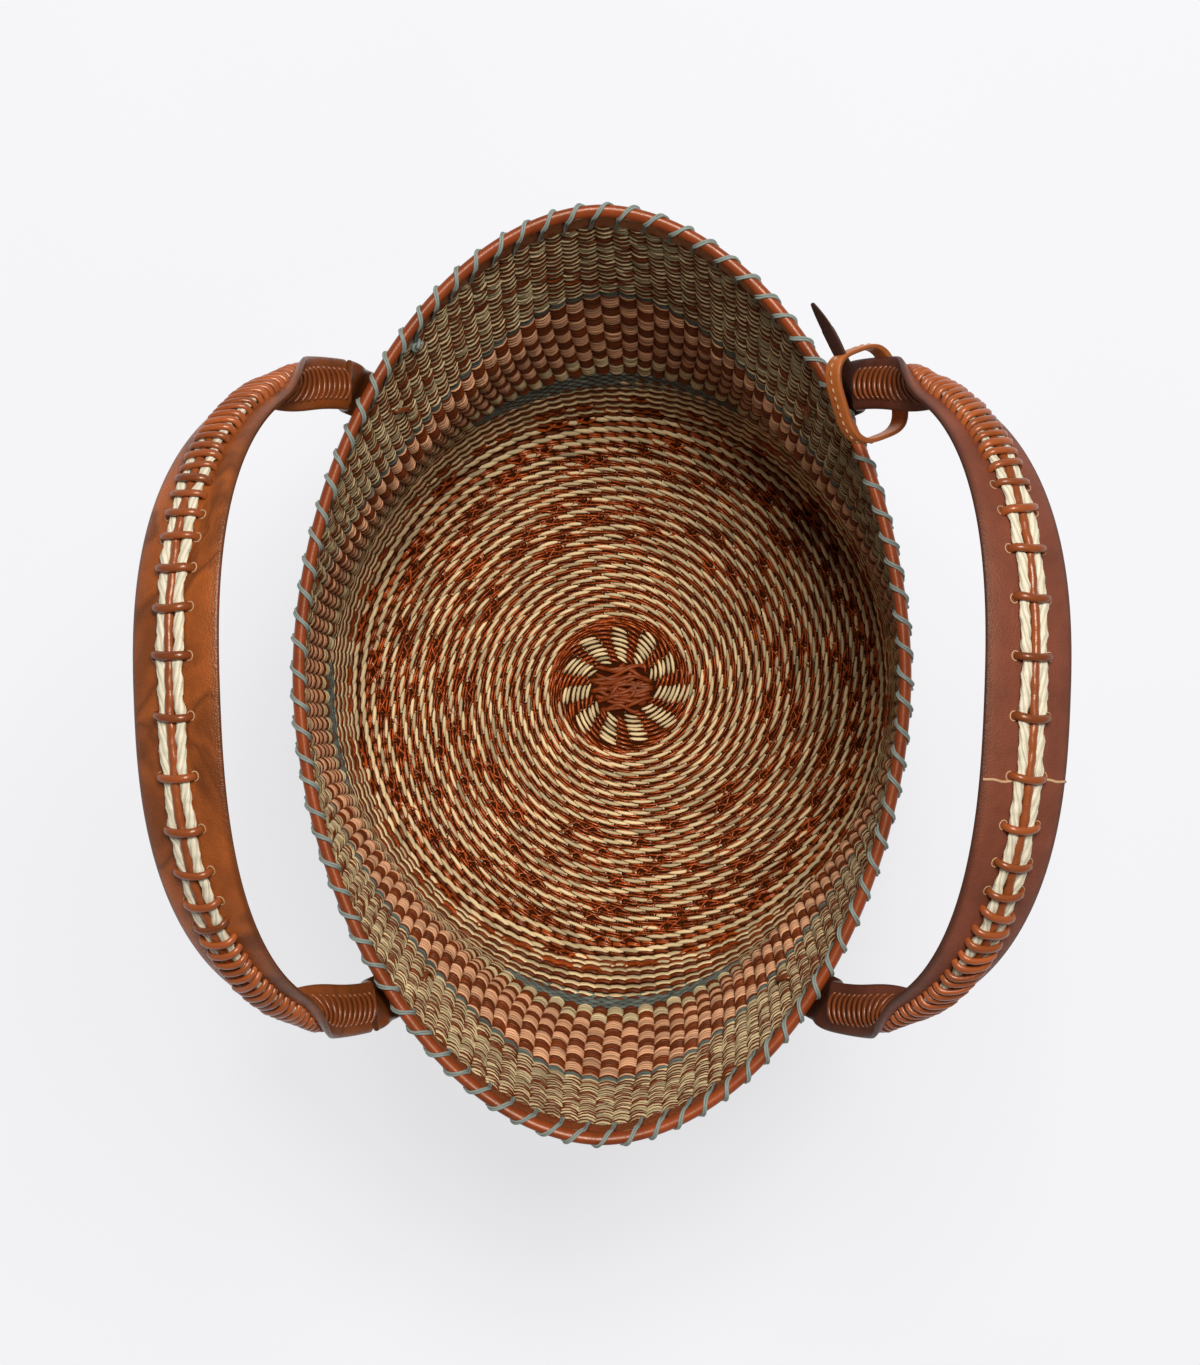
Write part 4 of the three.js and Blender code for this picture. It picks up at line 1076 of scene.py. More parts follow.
class BASKET_OT_body(bpy.types.Operator):
    """Lay the strands of the floor and wall, inside and out, over a thin layer of stakes in near-black
    painted shade
    """

    bl_idname = "basket.body"
    bl_label = "Woven body"

    def execute(self, context):
        weave = context.scene.basket_weave
        kinds = {
            "floor_natural": ("raffia_natural", "raffia_natural", "wide", "woven_base"),
            "floor_rust": ("raffia_rust", "raffia_rust", "thin", "woven_base"),
            # The corner's rust and the wall rows take the shaded wall copies: painted shade.
            "corner_rust": ("wall_rust", "raffia_rust", "thin", "woven_base"),
            "wall_natural": ("wall_natural", "raffia_natural", "wide", "upper_wall"),
            "wall_rust": ("wall_rust", "raffia_rust", "wide", "check_band"),
            "blush": ("raffia_blush", "raffia_blush", "wide", "check_band"),
            "sage": ("raffia_sage", "raffia_sage", "wide", "lower_sage_band"),
        }
        for place, facing in (("inside", -1), ("outside", 1)):
            for key, rows in weave_plan(weave).items():
                look, slot, kind, node = kinds[key]
                if facing > 0:
                    rows["crest"] = np.minimum(rows["crest"], OUTSIDE_CREST)
                name = f"{place}_{key}_strands"
                piece = strand_floats(name, rows, facing, kind, finish(look))
                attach(piece, "root")
                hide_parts(node)
                if key == "sage":
                    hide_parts("upper_sage_band")
            knot = crossed_strands(f"{place}_centre_knot", facing)
            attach(knot, "root")
            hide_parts("centre_knot")
        for piece in (core_shell(), floor_disc()):
            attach(piece, "root")
        return {"FINISHED"}


# Rim


def binding(radius):
    """Leather folded over the cane: an arc of the piping radius, two straight flanges and
    the same way back inside, carried round the rim. The lower edges wave a little between
    the stitches by a cosine."""
    share = np.linspace(0, 1, 704, endpoint=False)
    turn = np.linspace(*np.radians(BINDING_ARC), 19)
    bottom = RIM_HEIGHT - FLANGE_DROP
    flange = FLANGE_OFFSET
    outer = [(flange - 0.1, bottom), (flange, bottom + 0.6), (flange - 0.15, bottom + 7)]
    outer += [(radius * math.cos(a), RIM_HEIGHT + radius * math.sin(a)) for a in turn]
    outer += [(-x, z) for x, z in outer[2::-1]]
    inner = [(1.25 - flange, bottom + 0.1), (-1.0, RIM_HEIGHT - 3), (1.0, RIM_HEIGHT - 3)]
    inner += [(flange - 1.25, bottom + 0.1)]
    profile = np.array(outer + inner)
    edge = np.clip((bottom + 1.2 - profile[:, 1]) / 1.2, 0, 1)
    stitches = bpy.context.scene.basket_rim.stitches
    wave = 0.35 * np.cos(2 * np.pi * stitches * share)[:, None] * edge[None]
    points = wall_point(rim_angle(share)[:, None], profile[None, :, 1] + wave, profile[None, :, 0])
    faces = [quads(len(share), len(profile), True, True)]
    values = {"edge": np.broadcast_to(0.5 * edge[None], points.shape[:2])}
    return make_piece("rim_piping_leather", points, faces, finish("leather_rim"), None, values)


def whip_cord(radius, ply):
    """One cord wound round the rim in even turns: through the wall under the flange, up its
    outside, over the piping on a slant and down the inside. Two plies turn slowly round that
    line half a turn apart."""
    stitches = bpy.context.scene.basket_rim.stitches
    over = radius + 0.95 * ply
    low = RIM_HEIGHT - FLANGE_DROP - 1.3
    side = FLANGE_OFFSET + 0.85 * ply
    arc = np.linspace(*np.radians(WHIP_ARC), 17)
    way = [(-1.2, low, 0.0), (1.2, low, 0.0), (side - 0.9, low + 0.1, 0.01), (side, low + 1.5, 0.03)]
    way += [(side, low + 7, 0.09)]
    for k, a in enumerate(arc):
        way.append((over * math.cos(a), RIM_HEIGHT + over * math.sin(a), mix(0.16, 0.84, k / 16)))
    way += [(-side, low + 7, 0.91), (-side, low + 1.5, 0.97), (-side + 0.9, low + 0.1, 0.99)]
    way = np.array(way)
    nodes = np.concatenate([way, [[way[0, 0], way[0, 1], 1.0]]])
    length = run_along(nodes * [1, 1, 9])
    turn = read_off(np.linspace(0, length[-1], 44, endpoint=False), length, nodes)
    start = np.arange(stitches)[:, None]
    jitter = random.normal(0, 0.05, stitches)[:, None]
    lean = jitter * np.sin(np.pi * turn[None, :, 2])
    share = (start + 0.5 + turn[None, :, 2] + lean).ravel() / stitches
    offset = np.tile(turn[:, 0], stitches)
    height = np.tile(turn[:, 1], stitches)
    points = wall_point(rim_angle(share), height, offset)
    core = wall_point(rim_angle(share), np.full(share.shape, RIM_HEIGHT - 5.0), 0)
    across, face = ring_frames(points, points - core, True)
    run = run_along(points)
    pitch = run[-1] / round(run[-1] / WHIP_TWIST)
    parts = []
    for ply_index in (0, 1):
        twist = 0.75 * np.sin(2 * np.pi * run / pitch) + np.pi * ply_index
        spread = 0.92 * ply * np.cos(twist)[:, None] * across
        centre = points + spread + 0.5 * ply * np.sin(twist)[:, None] * face
        name = f"rim_whip_ply_{ply_index + 1}"
        parts.append(round_cord(name, centre, face, ply, finish("cord_sage"), 7, closed=True))
    return parts


def knot_at_rim():
    """The tie-off inside the rim: a trefoil-like loop, (2 + cos 3t) round a small centre,
    with two short tails that hang down the wall."""
    stitches = bpy.context.scene.basket_rim.stitches
    share = (round(stitches * KNOT_SHARE) + 0.5) / stitches
    angle = rim_angle(np.array([share]))[0]
    place = wall_point(angle, RIM_HEIGHT - FLANGE_DROP - 3.6, -4.2)
    normal = wall_normal(np.array(angle), np.array(260.0))
    along = np.cross(UP, normal)
    t = circle(72)
    ring = 0.95 * (2 + np.cos(3 * t))
    points = (
        place
        + (ring * np.cos(2 * t))[:, None] * along
        + (ring * np.sin(2 * t))[:, None] * UP
        + (1.1 * np.sin(3 * t))[:, None] * normal
    )
    hint = np.broadcast_to(normal, points.shape)
    cord = finish("cord_sage")
    parts = [round_cord("rim_cord_knot", points, hint, 0.95, cord, 8, closed=True)]
    for lean in (-1.0, 1.4):
        s = np.linspace(0, 1, 12)
        tail = place + (lean * s * 2.6)[:, None] * along - (7.5 * s)[:, None] * UP
        tail = tail + (0.9 - 0.5 * s)[:, None] * normal
        parts.append(round_cord("tail", tail, np.broadcast_to(normal, tail.shape), 0.8, cord, 7))
    return join_pieces("rim_cord_knot", parts)


class BASKET_OT_rim(bpy.types.Operator):
    """Wrap the rim in leather and wind the whip cord round it, with its knot"""

    bl_idname = "basket.rim"
    bl_label = "Bound rim"

    def execute(self, context):
        rim = context.scene.basket_rim
        leather = binding(rim.piping_radius / MM)
        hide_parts("rim_binding")
        cords = whip_cord(rim.piping_radius / MM, rim.cord_ply / MM)
        knot = knot_at_rim()
        for piece in cords:
            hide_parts("rim_whip_stitch")
        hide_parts("whip_stitch_knot")
        for piece in (leather, *cords, knot):
            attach(piece, "root")
        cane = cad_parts["rim_core"]
        cane.data.materials.clear()
        cane.data.materials.append(finish("cane"))
        return {"FINISHED"}


# Handles


def strap(name, side, material):
    """A leather strap carried along its path: a flat inner face, round edges and an outer
    face that is domed by one less the fourth power of the place across. Its two ends are
    rounded by a quarter ellipse."""
    path = band_path(side)
    turn = circle(36)
    across = signed_power(np.cos(turn), 0.34)
    through = signed_power(np.sin(turn), 0.62)
    dome = 1 - DOME_FALL * across**4
    through = np.where(through > 0, through * dome, through)
    number = np.arange(len(path["width"]))
    reach = np.minimum(number, number[::-1]) * TIP_STEP
    tip = np.sqrt(np.clip(1 - (1 - np.clip(reach / TIP_LENGTH, 0, 1)) ** 2, 0.02, 1))
    lateral = (path["width"] / 2 * tip)[:, None] * across[None]
    lift = (path["thick"] / 2)[:, None] * through[None]
    points = carry(path, lateral, lift)
    edge = np.broadcast_to(smooth(np.abs(across), 0.86, 1.0)[None], lateral.shape)
    rise = np.clip(path["height"] / HANDLE_RISE, 0, 1)[:, None]
    grip = 0.35 if side > 0 else 0.15
    worn = grip * smooth(rise, 0.82, 1.0) + 0.25 * (1 - smooth(rise, 0.0, 0.25))
    # Painted shade: the flat inner face is darkened; worn adds the darker grip and feet.
    tone = np.broadcast_to(worn + 0.55 * smooth(-through, 0.1, 0.8)[None], lateral.shape)
    faces = tube_faces(len(points), len(turn), False)
    return make_piece(name, points, faces, material, None, {"edge": edge, "tone": tone})


def twisted_cord(name, path, lateral, width, height, pitch, material, plies, lobe_size, wave=0.0):
    """A cord of plies laid on the strap: its section is an ellipse with as many lobes as plies, which
    turns as it runs, so the grooves wind round it. It sways sideways as a sine and swells by a sum of
    sines along its run."""
    whole = run_along(path["point"])[-1]
    distance = np.linspace(0, whole, int(whole / 1.1))
    found = at_distance(path, distance)
    turn = circle(7 * plies)[None]
    twist = 2 * np.pi * distance[:, None] / pitch
    lobe = np.cos(plies * (turn - twist))

    def ripple(length, shift=0):
        """A sine of the distance, each cord's shifted by its own place."""
        return np.sin(2 * np.pi * distance / length + shift * lateral)

    swell = ripple(11.3, 2) + ripple(6.1, 1)
    ragged = ripple(2.9, 3) * ripple(23.0)
    radius = 1 + lobe_size * lobe + wave * (0.2 * swell + 0.12 * ragged)[:, None]
    sway = 1.2 * wave * (ripple(37.0, 1) + 0.6 * ripple(14.3, 1))[:, None]
    x = lateral + sway + width / 2 * radius * np.cos(turn)
    z = found["thick"][:, None] / 2 + 0.47 * height + height / 2 * radius * np.sin(turn)
    points = carry(found, x, z)
    # Painted shade for the grooves between the plies, strongest where the lobe is lowest.
    groove = np.clip(0.5 - 0.5 * lobe, 0, 1) ** 2
    uv = np.stack(np.broadcast_arrays(distance[:, None] * 0.6, (turn - twist) * width / 2), axis=-1)
    faces = tube_faces(*points.shape[:2], False)
    values = {"groove": groove, "tone": np.full(groove.shape, 0.55)}
    return make_piece(name, points, faces, material, uv, values)


def distances_along(path, wanted, step):
    """Even distances along a path, kept where its height is wanted."""
    distances = np.arange(0, run_along(path["point"])[-1], step)
    return distances[wanted(at_distance(path, distances)["height"])]


def bar_distances(whole, leg_step, grip_step, lasts):
    """Bar places from the middle of the grip: each step is the leg's step plus the extra one,
    which dies away after some bars, as one over one plus the exponential of its number."""
    reach = []
    for last in lasts:
        fade = 1 / (1 + np.exp((np.arange(60) - last) / (2.2 - 0.33 * last)))
        reach.append(np.cumsum(leg_step + grip_step * fade / fade[0]))
    middle = whole / 2 + BAR_SHIFT
    places = np.concatenate([middle - reach[0][::-1], [middle], middle + reach[1]])
    return places[(places > 3) & (places < whole - 3)]


def lace_bars(name, path, distances, width, material):
    """Round laces across the cords: each rises from a hole, follows the tops of the three
    cords and goes down on the far side, with its middle pulled a little along the strap."""
    found = at_distance(path, distances)
    count = len(distances)
    legs = np.abs(distances - distances.mean()) / (distances.max() - distances.mean())
    slant = (random.normal(0, 0.07, count) + 0.35 * smooth(legs, 0.45, 0.7))[:, None]
    shift = random.normal(0, 0.25, count)[:, None]
    x = np.broadcast_to(BAR_ACROSS[None], (count, len(BAR_ACROSS)))
    z = found["thick"][:, None] / 2 + BAR_LIFT[None] * random.uniform(0.95, 1.05, count)[:, None]
    bow = random.uniform(0.5, 1.3, count)[:, None] * (1 - (BAR_ACROSS / BAR_ACROSS.max()) ** 2)[None]
    centre_forward = slant * x + shift + bow
    turn = circle(10)
    half = width / 2 * random.uniform(0.88, 1.12, count)[:, None, None]
    forward = centre_forward[:, :, None] + half * np.cos(turn)[None, None]
    rise_x, rise_z = np.gradient(BAR_ACROSS), np.gradient(BAR_LIFT)
    size = np.hypot(rise_x, rise_z)
    outward = 0.8 * half * np.sin(turn)[None, None]
    full_x = x[:, :, None] - outward * (rise_z / size)[None, :, None]
    full_z = z[:, :, None] + outward * (rise_x / size)[None, :, None]
    points = carry(found, full_x, full_z, forward)
    tone = np.clip(0.9 - 1.1 * legs + random.normal(0, 0.2, count), 0, 1)
    tone = np.broadcast_to(tone[:, None, None], points.shape[:3])
    faces = repeated(tube_faces(x.shape[1], len(turn), False), count, x.shape[1] * len(turn))
    return make_piece(name, points, faces, material, None, {"tone": tone})


def inner_ribs(name, path, distances, material):
    """Where the laces pass behind the strap: arched ribs across the inner face, bowed along
    the strap by one less the square of the place across."""
    found = at_distance(path, distances)
    count = len(distances)
    u = np.linspace(-1, 1, 11)
    away = np.where(found["way"] > 0, 1.0, -1.0)
    bow = (1 - u * u)[None] * (3.6 * away)[:, None]
    room = np.clip(0.40 * found["width"] - 2.0, 5.5, 7.6)
    x = room[:, None] * u[None]
    depth = -found["thick"][:, None] / 2 - 1.1 * (1 - u**4)[None] + 0.3
    turn = circle(8)
    size = random.uniform(0.9, 1.1, count)[:, None, None]
    forward = bow[:, :, None] + 0.95 * size * np.cos(turn)[None, None]
    full_z = depth[:, :, None] + 0.85 * size * np.sin(turn)[None, None]
    full_x = x[:, :, None] + 0 * forward
    points = carry(found, full_x, full_z, forward)
    # Painted shade: the ribs on the strap's inner face are darkened.
    tone = np.broadcast_to(random.uniform(0.8, 1.0, count)[:, None, None], points.shape[:3])
    faces = repeated(tube_faces(len(u), len(turn), False), count, len(u) * len(turn))
    return make_piece(name, points, faces, material, None, {"tone": tone})


def punched_holes(name, path, distances, material):
    """Pressed rims of the holes that the laces go through: flat rings on the outer face."""
    found = at_distance(path, np.repeat(distances, 2))
    count = len(distances) * 2
    sign = np.tile([-1.0, 1.0], len(distances))[:, None, None]
    ring, tube = circle(12)[None, :, None], circle(5)[None, None]
    radius = 2.05 + 0.3 * np.cos(tube)
    x = sign * HOLE_PLACE + 0.9 * radius * np.cos(ring)
    forward = radius * np.sin(ring) + 0 * x
    z = found["thick"][:, None, None] / 2 - 0.12 + 0.3 * np.sin(tube) + 0 * x
    points = carry(found, x, z, forward)
    faces = repeated([quads(12, 5, True, True)], count, 60)
    return make_piece(name, points, faces, material)


def tab_lace(name, side, end, material):
    """The lace that ties a strap's end to the wall: two upright bights with crossed ends
    inside the basket, as one closed flattened cord."""
    low, high = TAB_LACE_HEIGHT, TAB_LACE_HEIGHT + TAB_LACE_RISE
    inside, outside = -(WALL / 2 + 1.3), WALL / 2 + 0.6 + STRAP_END_THICKNESS + 0.9
    middle_height = np.array((low + high) / 2)
    corners = [(inside, low - 1), (0, low), (outside, low), (outside, high), (0, high)]
    corners += [(inside, high + 1), (inside - 1.2, middle_height + 2), (inside - 1.4, middle_height - 2)]
    closed = np.array(corners + corners[:1])
    length = run_along(closed)
    loop = read_off(np.linspace(0, length[-1], 60, endpoint=False), length, closed)
    kernel = np.array([1, 2, 3, 2, 1]) / 9
    longer = np.concatenate([loop[-2:], loop, loop[:2]])
    loop = np.stack([np.convolve(column, kernel, "valid") for column in longer.T], axis=-1)
    angle = tab_angle(side, end, middle_height)
    along = np.cross(UP, wall_normal(angle, middle_height))
    sway = 2.2 * np.sin(2 * circle(60))
    points = wall_point(tab_angle(side, end, loop[:, 1]), loop[:, 1], loop[:, 0])
    points = points + sway[:, None] * along
    middle = wall_point(angle, middle_height, 0.0)
    return round_cord(name, points, points - middle, 1.2, material, 8, closed=True, flat=0.6, tone=0.9)


def seam_across(name, path, distance, material):
    """The cut edge where two lengths of leather lap: a thin pale ridge across the strap's
    outer face that wavers a little."""
    found = at_distance(path, np.full(30, distance))
    x = np.linspace(-0.5, 0.5, 30) * (found["width"] - 0.8)
    forward = 0.5 * np.sin(2 * np.pi * x / 33) + 0.25 * np.sin(2 * np.pi * x / 9)
    dome = 1 - DOME_FALL * (2 * x / found["width"]) ** 4
    points = carry(found, x, found["thick"] / 2 * dome - 0.1, forward)
    return round_cord(name, points, found["face"], 0.6, material, 8, flat=0.7)


class BASKET_OT_handles(bpy.types.Operator):
    """Build both straps with their cords, lace bars, punched holes and inner ribs"""

    bl_idname = "basket.handles"
    bl_label = "Laced handles"

    def execute(self, context):
        lacing = context.scene.basket_lacing
        for place, side in (("front", -1), ("rear", 1)):
            self.build(place, side, lacing)
        return {"FINISHED"}

    def build(self, place, side, lacing):
        """One handle: the strap is made in place with its folds rounded, what is laced to it rides on
        the arch and the two laces through the wall stay with the body."""
        body = place + "_handle"
        leather = finish("leather_" + place)
        band = strap(place + "_strap_leather", side, leather)
        origin, _, up, _, _ = handle_frame(side)
        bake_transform(band)
        tabs = [f"{place}_{hand}_strap_tab" for hand in ("right", "left")]
        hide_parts(place + "_handle_strap", *tabs)
        arch = arch_path(side, 260)
        arch["way"] = np.where(np.arange(260) < 130, -1.0, 1.0)
        behind = distances_along(arch, lambda h: (h > RIBS_FROM) & (h < RIBS_TO), lacing.rib_step / MM)
        cream, lace = finish("cord_cream"), finish("leather_lace")
        ribs = inner_ribs(place + "_inner_ribs", arch, behind, lace)
        arch = chosen(arch, arch["height"] > LACING_START[place])
        whole = run_along(arch["point"])[-1]
        distances = bar_distances(whole, lacing.leg_step / MM, lacing.grip_step / MM, GRIP_BARS[place])
        made = []
        for edge, way in (("outer", 1), ("inner", -1)):
            name = f"{place}_{edge}_cream_strands"
            lateral, size = way * CREAM_CORD_PLACE, (CREAM_CORD_WIDTH, CREAM_CORD_HEIGHT)
            turn = way * CREAM_CORD_TURN
            cord = twisted_cord(name, arch, lateral, *size, turn, cream, 5, 0.05, 0.4)
            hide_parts(f"{place}_{edge}_cream_cord")
            made.append(cord)
        name, size = place + "_centre_lace", (CENTRE_CORD_WIDTH, CENTRE_CORD_HEIGHT)
        centre = twisted_cord(name, arch, 0, *size, CENTRE_CORD_TURN, lace, 2, 0.03, 0.2)
        bars = lace_bars(place + "_lace_bars", arch, distances, lacing.bar_width / MM, lace)
        for piece in (centre, bars):
            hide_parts(place + "_lace_and_centre_cord")
        gaps = np.diff(distances)
        apart = distances[1:-1][np.minimum(gaps[1:], gaps[:-1]) > HOLES_APART]
        holes = punched_holes(place + "_punched_holes", arch, apart, finish("cut_edge"))
        made += [centre, bars, ribs, holes]
        if place == "front":
            distance = whole * 0.5 + SEAM_PAST_MIDDLE
            made.append(seam_across("front_strap_seam", arch, distance, finish("cut_edge")))
        for piece in made:
            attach(piece, body)
        for hand, end_sign in (("right", 1), ("left", -1)):
            node = f"{place}_{hand}_tab_lace"
            piece = tab_lace(node + "_cord", side, end_sign, lace)
            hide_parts(node)
            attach(piece, "root")


# Tag


def loop_outline(turn, inset):
    """Points of the tag loop's outline at turns round it, a superellipse turned about the leg
    and made smaller by the inset, and the way up the leg."""
    origin, along, up, face, half = handle_frame(-1)
    half_length = TAG_LOOP_LENGTH / 2 - inset
    half_depth = (TAG_LOOP_OUTSIDE - TAG_LOOP_INSIDE) / 2 - inset
    middle = (TAG_LOOP_OUTSIDE + TAG_LOOP_INSIDE) / 2
    x = half_length * signed_power(np.cos(turn), TAG_LOOP_SQUARENESS)
    z = half_depth * signed_power(np.sin(turn), TAG_LOOP_SQUARENESS)
    centre = origin + (half + TAG_LOOP_SHIFT) * along + middle * face + TAG_LOOP_RISE * up
    lean = math.radians(TAG_LOOP_TURN)
    long_way = along * math.cos(lean) - face * math.sin(lean)
    deep_way = face * math.cos(lean) + along * math.sin(lean)
    return centre + np.asarray(x)[..., None] * long_way + np.asarray(z)[..., None] * deep_way, up


def even_loop_turns(count):
    """Turns that split the loop's outline into equal lengths, from a fine running sum."""
    turn = np.linspace(0, 2 * np.pi, 4001)
    run = run_along(loop_outline(turn, 0.0)[0])
    return np.interp(np.linspace(0, run[-1], count, endpoint=False), run, turn)


def tag_band():
    """The leather loop: its outline carried with a flat section whose corners are rounded."""
    turn = even_loop_turns(120)
    section = circle(20)
    inset = TAG_LOOP_THICKNESS / 2 * (1 - signed_power(np.sin(section), 0.55))
    lift = TAG_LOOP_BAND / 2 * signed_power(np.cos(section), 0.3)
    rows = []
    for step in range(len(section)):
        points, up = loop_outline(turn, inset[step])
        rows.append(points + lift[step] * up)
    points = np.stack(rows, axis=1)
    edge = smooth(np.abs(lift) / (TAG_LOOP_BAND / 2), 0.9, 1.0)[None]
    edge = np.broadcast_to(edge, points.shape[:2])
    faces = [quads(len(turn), len(section), True, True)]
    return make_piece("tag_loop_band", points, faces, finish("leather_tag"), None, {"edge": edge})


def tag_stitches():
    """Running stitches down the middle of the loop's outer face: short threads that rise and
    dip, evenly spaced round the outline."""
    points, up = loop_outline(even_loop_turns(TAG_STITCHES * 10), -0.05)
    points = points.reshape(TAG_STITCHES, 10, 3)[:, :6]
    core = points.mean(axis=(0, 1))
    u = np.linspace(-1, 1, 6)
    outward = points - core
    outward = unit(outward - (outward @ up)[..., None] * up)
    centre = points + (0.25 * (1 - u * u) - 0.1)[None, :, None] * outward
    turn = circle(6)
    rings = (
        centre[:, :, None]
        + 0.45 * np.cos(turn)[None, None, :, None] * up
        + 0.4 * np.sin(turn)[None, None, :, None] * outward[:, :, None]
    )
    faces = repeated(tube_faces(len(u), len(turn), False), TAG_STITCHES, len(u) * len(turn))
    return make_piece("tag_loop_stitches", rings, faces, finish("cut_edge"))


def tag_flap():
    """The pointed flap: its half width follows a quadratic from the root through the widest
    place to the tip, and its thickness is an ellipse across that width."""
    _, along, up, face, _ = handle_frame(-1)
    lean, dip = math.radians(TONGUE_TURN), math.radians(TONGUE_DIP)
    level = along * math.cos(lean) - face * math.sin(lean)
    way = level * math.cos(dip) - up * math.sin(dip)
    across = level * math.sin(dip) + up * math.cos(dip)
    normal = np.cross(way, across)
    root, _ = loop_outline(np.array(-TONGUE_CORNER), TAG_LOOP_THICKNESS / 2)
    t = np.linspace(0, 1, 30)
    reach = 2 * t * (1 - t) * 0.6 * TONGUE_LENGTH + t * t * TONGUE_LENGTH
    reach = np.concatenate([[-TONGUE_INSIDE, 0.4 - TONGUE_INSIDE], reach, [TONGUE_LENGTH + 0.5]])
    root_part, tip_part = (1 - t) ** 2 * TONGUE_ROOT_WIDTH, t * t * TONGUE_TIP_WIDTH
    half_width = (root_part + 2 * t * (1 - t) * TONGUE_WIDTH + tip_part) / 2
    half_width = np.concatenate([[half_width[0] * 0.6, half_width[0] * 0.95], half_width, [0.35]])
    turn = circle(16)
    bend = 1.6 * np.sin(np.pi * np.clip(reach / TONGUE_LENGTH, 0, 1))
    size = 0.55 + 0.45 * (reach < 14)
    size[-1] *= 0.4
    y = half_width[:, None] * signed_power(np.cos(turn), 0.6)[None]
    z = (TONGUE_THICKNESS / 2 * size)[:, None] * signed_power(np.sin(turn), 0.6)[None]
    points = root + reach[:, None, None] * way + y[..., None] * across
    points = points + (z + 0.35 * bend[:, None])[..., None] * normal
    edge = np.broadcast_to(smooth(np.abs(np.cos(turn)), 0.9, 1.0)[None], y.shape)
    faces = tube_faces(len(reach), len(turn), False)
    return make_piece("tag_tongue_flap", points, faces, finish("leather_dark"), None, {"edge": edge})


class BASKET_OT_tag(bpy.types.Operator):
    """Build the stitched leather loop on the front handle and its pointed flap"""

    bl_idname = "basket.tag"
    bl_label = "Leather tag"

    def execute(self, context):
        band, stitches, flap = tag_band(), tag_stitches(), tag_flap()
        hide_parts("tag_loop")
        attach(band, "tag_loop")
        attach(stitches, "tag_loop")
        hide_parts("tag_tongue")
        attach(flap, "tag_tongue")
        return {"FINISHED"}


# Stage


KEY_LIGHT_PLACE, KEY_LIGHT_SIZE, LIGHT_AIM = (0.78, -0.26, 2.65), 1.1, (0, 0, 0.15)
CAMERA_PLACE, FLOOR_REACH = (-0.0035, 0.0009), 40000.0


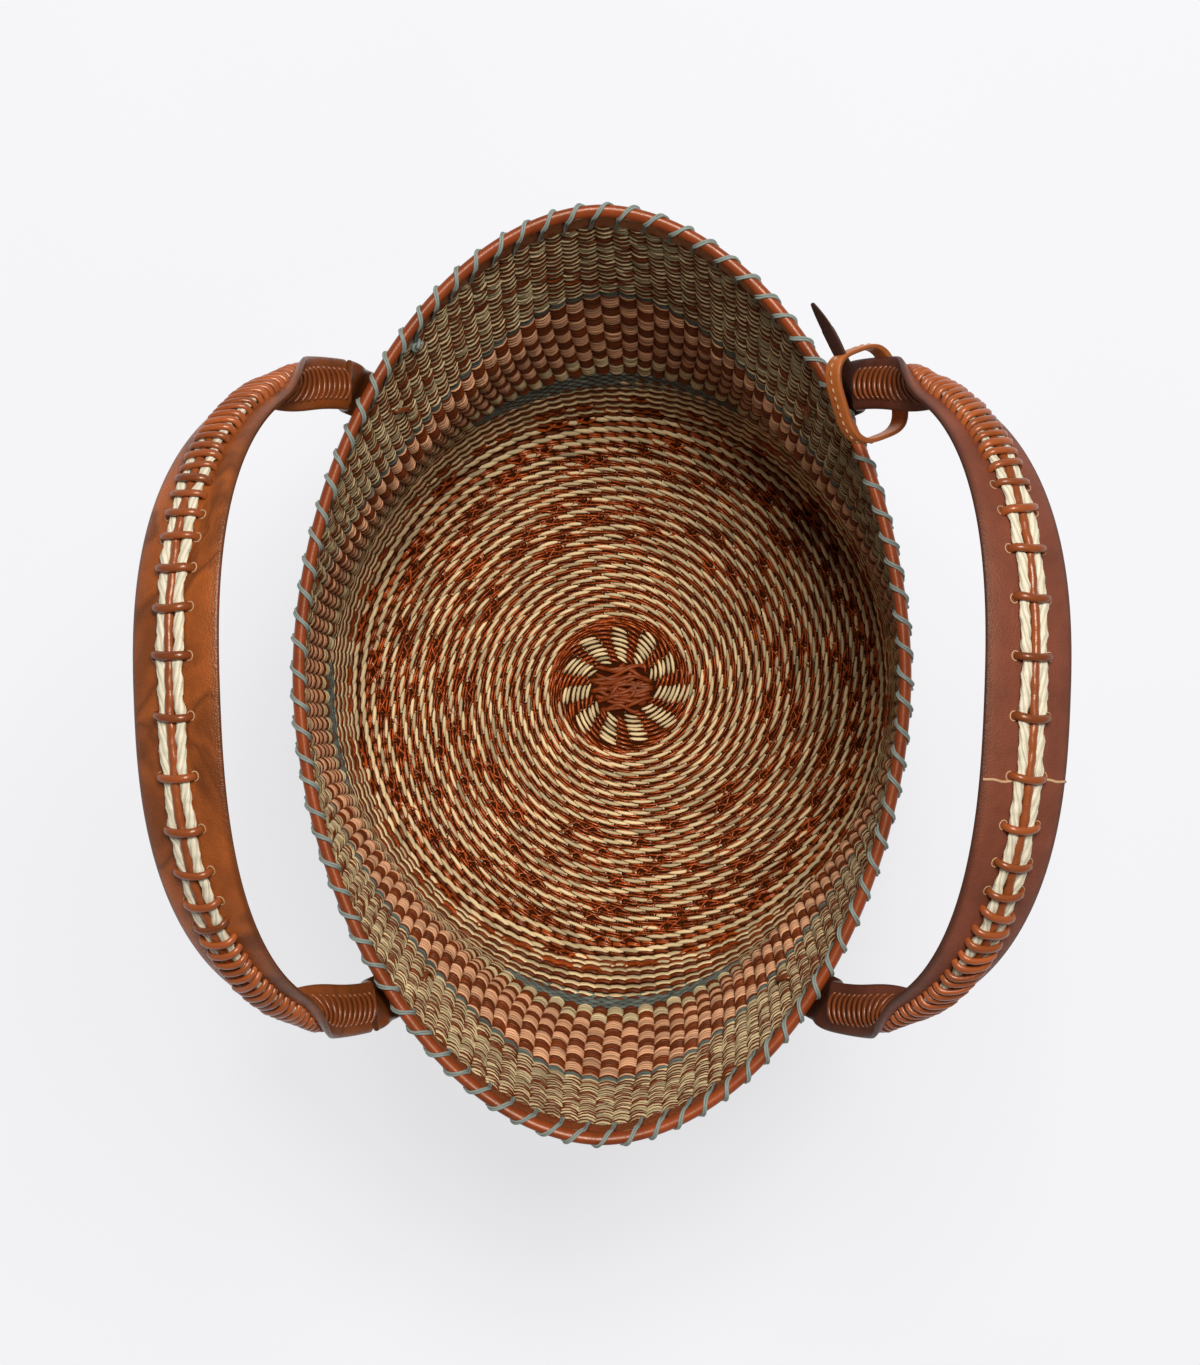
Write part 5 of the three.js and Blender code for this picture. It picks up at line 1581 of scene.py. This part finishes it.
class BASKET_OT_stage(bpy.types.Operator):
    """Lay the pale floor, hang the soft lights and place the camera above the basket"""

    bl_idname = "basket.stage"
    bl_label = "Stage"

    def execute(self, context):
        stage = context.scene.basket_stage
        self.floor()
        self.world(stage.world)
        self.light("key_light", KEY_LIGHT_PLACE, KEY_LIGHT_SIZE, stage.key_power)
        camera = bpy.data.objects.new("camera", bpy.data.cameras.new("camera"))
        camera.data.lens = stage.lens
        camera.data.sensor_width = 36
        camera.location = (*CAMERA_PLACE, stage.camera_height)
        camera.rotation_euler = (0, 0, -math.pi / 2)
        context.scene.collection.objects.link(camera)
        context.scene.camera = camera
        context.scene.view_settings.view_transform = "Standard"
        return {"FINISHED"}

    def floor(self):
        """A wide pale square that glows a little."""
        reach = np.array([-FLOOR_REACH, FLOOR_REACH])
        x, y = np.meshgrid(reach, reach, indexing="ij")
        points = np.stack([x, y, 0 * x], axis=-1)
        made = Finish("pale_floor", 0.9)
        cloud = made.noise(made.place((1, 1, 1)), 3.0, 2)
        made.colour(made.blend(made.ramp(cloud, 0.3, 0.7), (0.155, 0.155, 0.16), (0.165, 0.165, 0.17)))
        made.shader.inputs["Specular IOR Level"].default_value = 0.0
        made.shader.inputs["Emission Color"].default_value = (0.98, 0.98, 1.0, 1)
        made.shader.inputs["Emission Strength"].default_value = 0.725
        floor = make_piece("floor", points, [np.array([[0, 2, 3, 1]])], made.material)

    def world(self, strength):
        """Even white light from all around."""
        world = bpy.data.worlds.new("even_light")
        world.use_nodes = True
        background = world.node_tree.nodes["Background"]
        background.inputs["Color"].default_value = (1, 1, 1, 1)
        background.inputs["Strength"].default_value = strength
        bpy.context.scene.world = world

    def light(self, name, place, size, power):
        """A soft round light at a place, aimed at the basket's middle by two turns."""
        data = bpy.data.lights.new(name, "AREA")
        data.shape = "DISK"
        data.size = size
        data.energy = power
        lamp = bpy.data.objects.new(name, data)
        lamp.location = place
        aim = np.array(place) - np.array(LIGHT_AIM)
        flat = math.hypot(aim[0], aim[1])
        lamp.rotation_euler = (math.atan2(flat, aim[2]), 0, math.atan2(aim[1], aim[0]) + math.pi / 2)
        bpy.context.scene.collection.objects.link(lamp)


class BASKET_PT_panel(bpy.types.Panel):
    """Buttons and settings of the basket"""

    bl_label = "Basket"
    bl_idname = "BASKET_PT_panel"
    bl_space_type = "VIEW_3D"
    bl_region_type = "UI"
    bl_category = "Basket"

    def draw(self, context):
        for operator in OPERATORS:
            self.layout.operator(operator.bl_idname)
        for key, group in SETTINGS.items():
            box = self.layout.box()
            box.label(text=group.__doc__)
            for name in group.__annotations__:
                box.prop(getattr(context.scene, key), name)


SETTINGS = {
    "basket_colours": BasketColours,
    "basket_weave": BasketWeave,
    "basket_rim": BasketRim,
    "basket_lacing": BasketLacing,
    "basket_stage": BasketStage,
}
OPERATORS = (BASKET_OT_stage, BASKET_OT_body, BASKET_OT_rim, BASKET_OT_handles, BASKET_OT_tag)


def register():
    """Adds the settings, the operators and the panel."""
    for made in (*SETTINGS.values(), *OPERATORS, BASKET_PT_panel):
        bpy.utils.register_class(made)
    for key, group in SETTINGS.items():
        setattr(bpy.types.Scene, key, bpy.props.PointerProperty(type=group))


def unregister():
    """Takes them away again, last first."""
    for key in SETTINGS:
        delattr(bpy.types.Scene, key)
    for made in (BASKET_PT_panel, *OPERATORS[::-1], *list(SETTINGS.values())[::-1]):
        bpy.utils.unregister_class(made)


def main():
    """Builds the whole basket."""
    register()
    bpy.ops.basket.stage()
    bpy.ops.basket.body()
    bpy.ops.basket.rim()
    bpy.ops.basket.handles()
    bpy.ops.basket.tag()


if __name__ == "__main__":
    main()
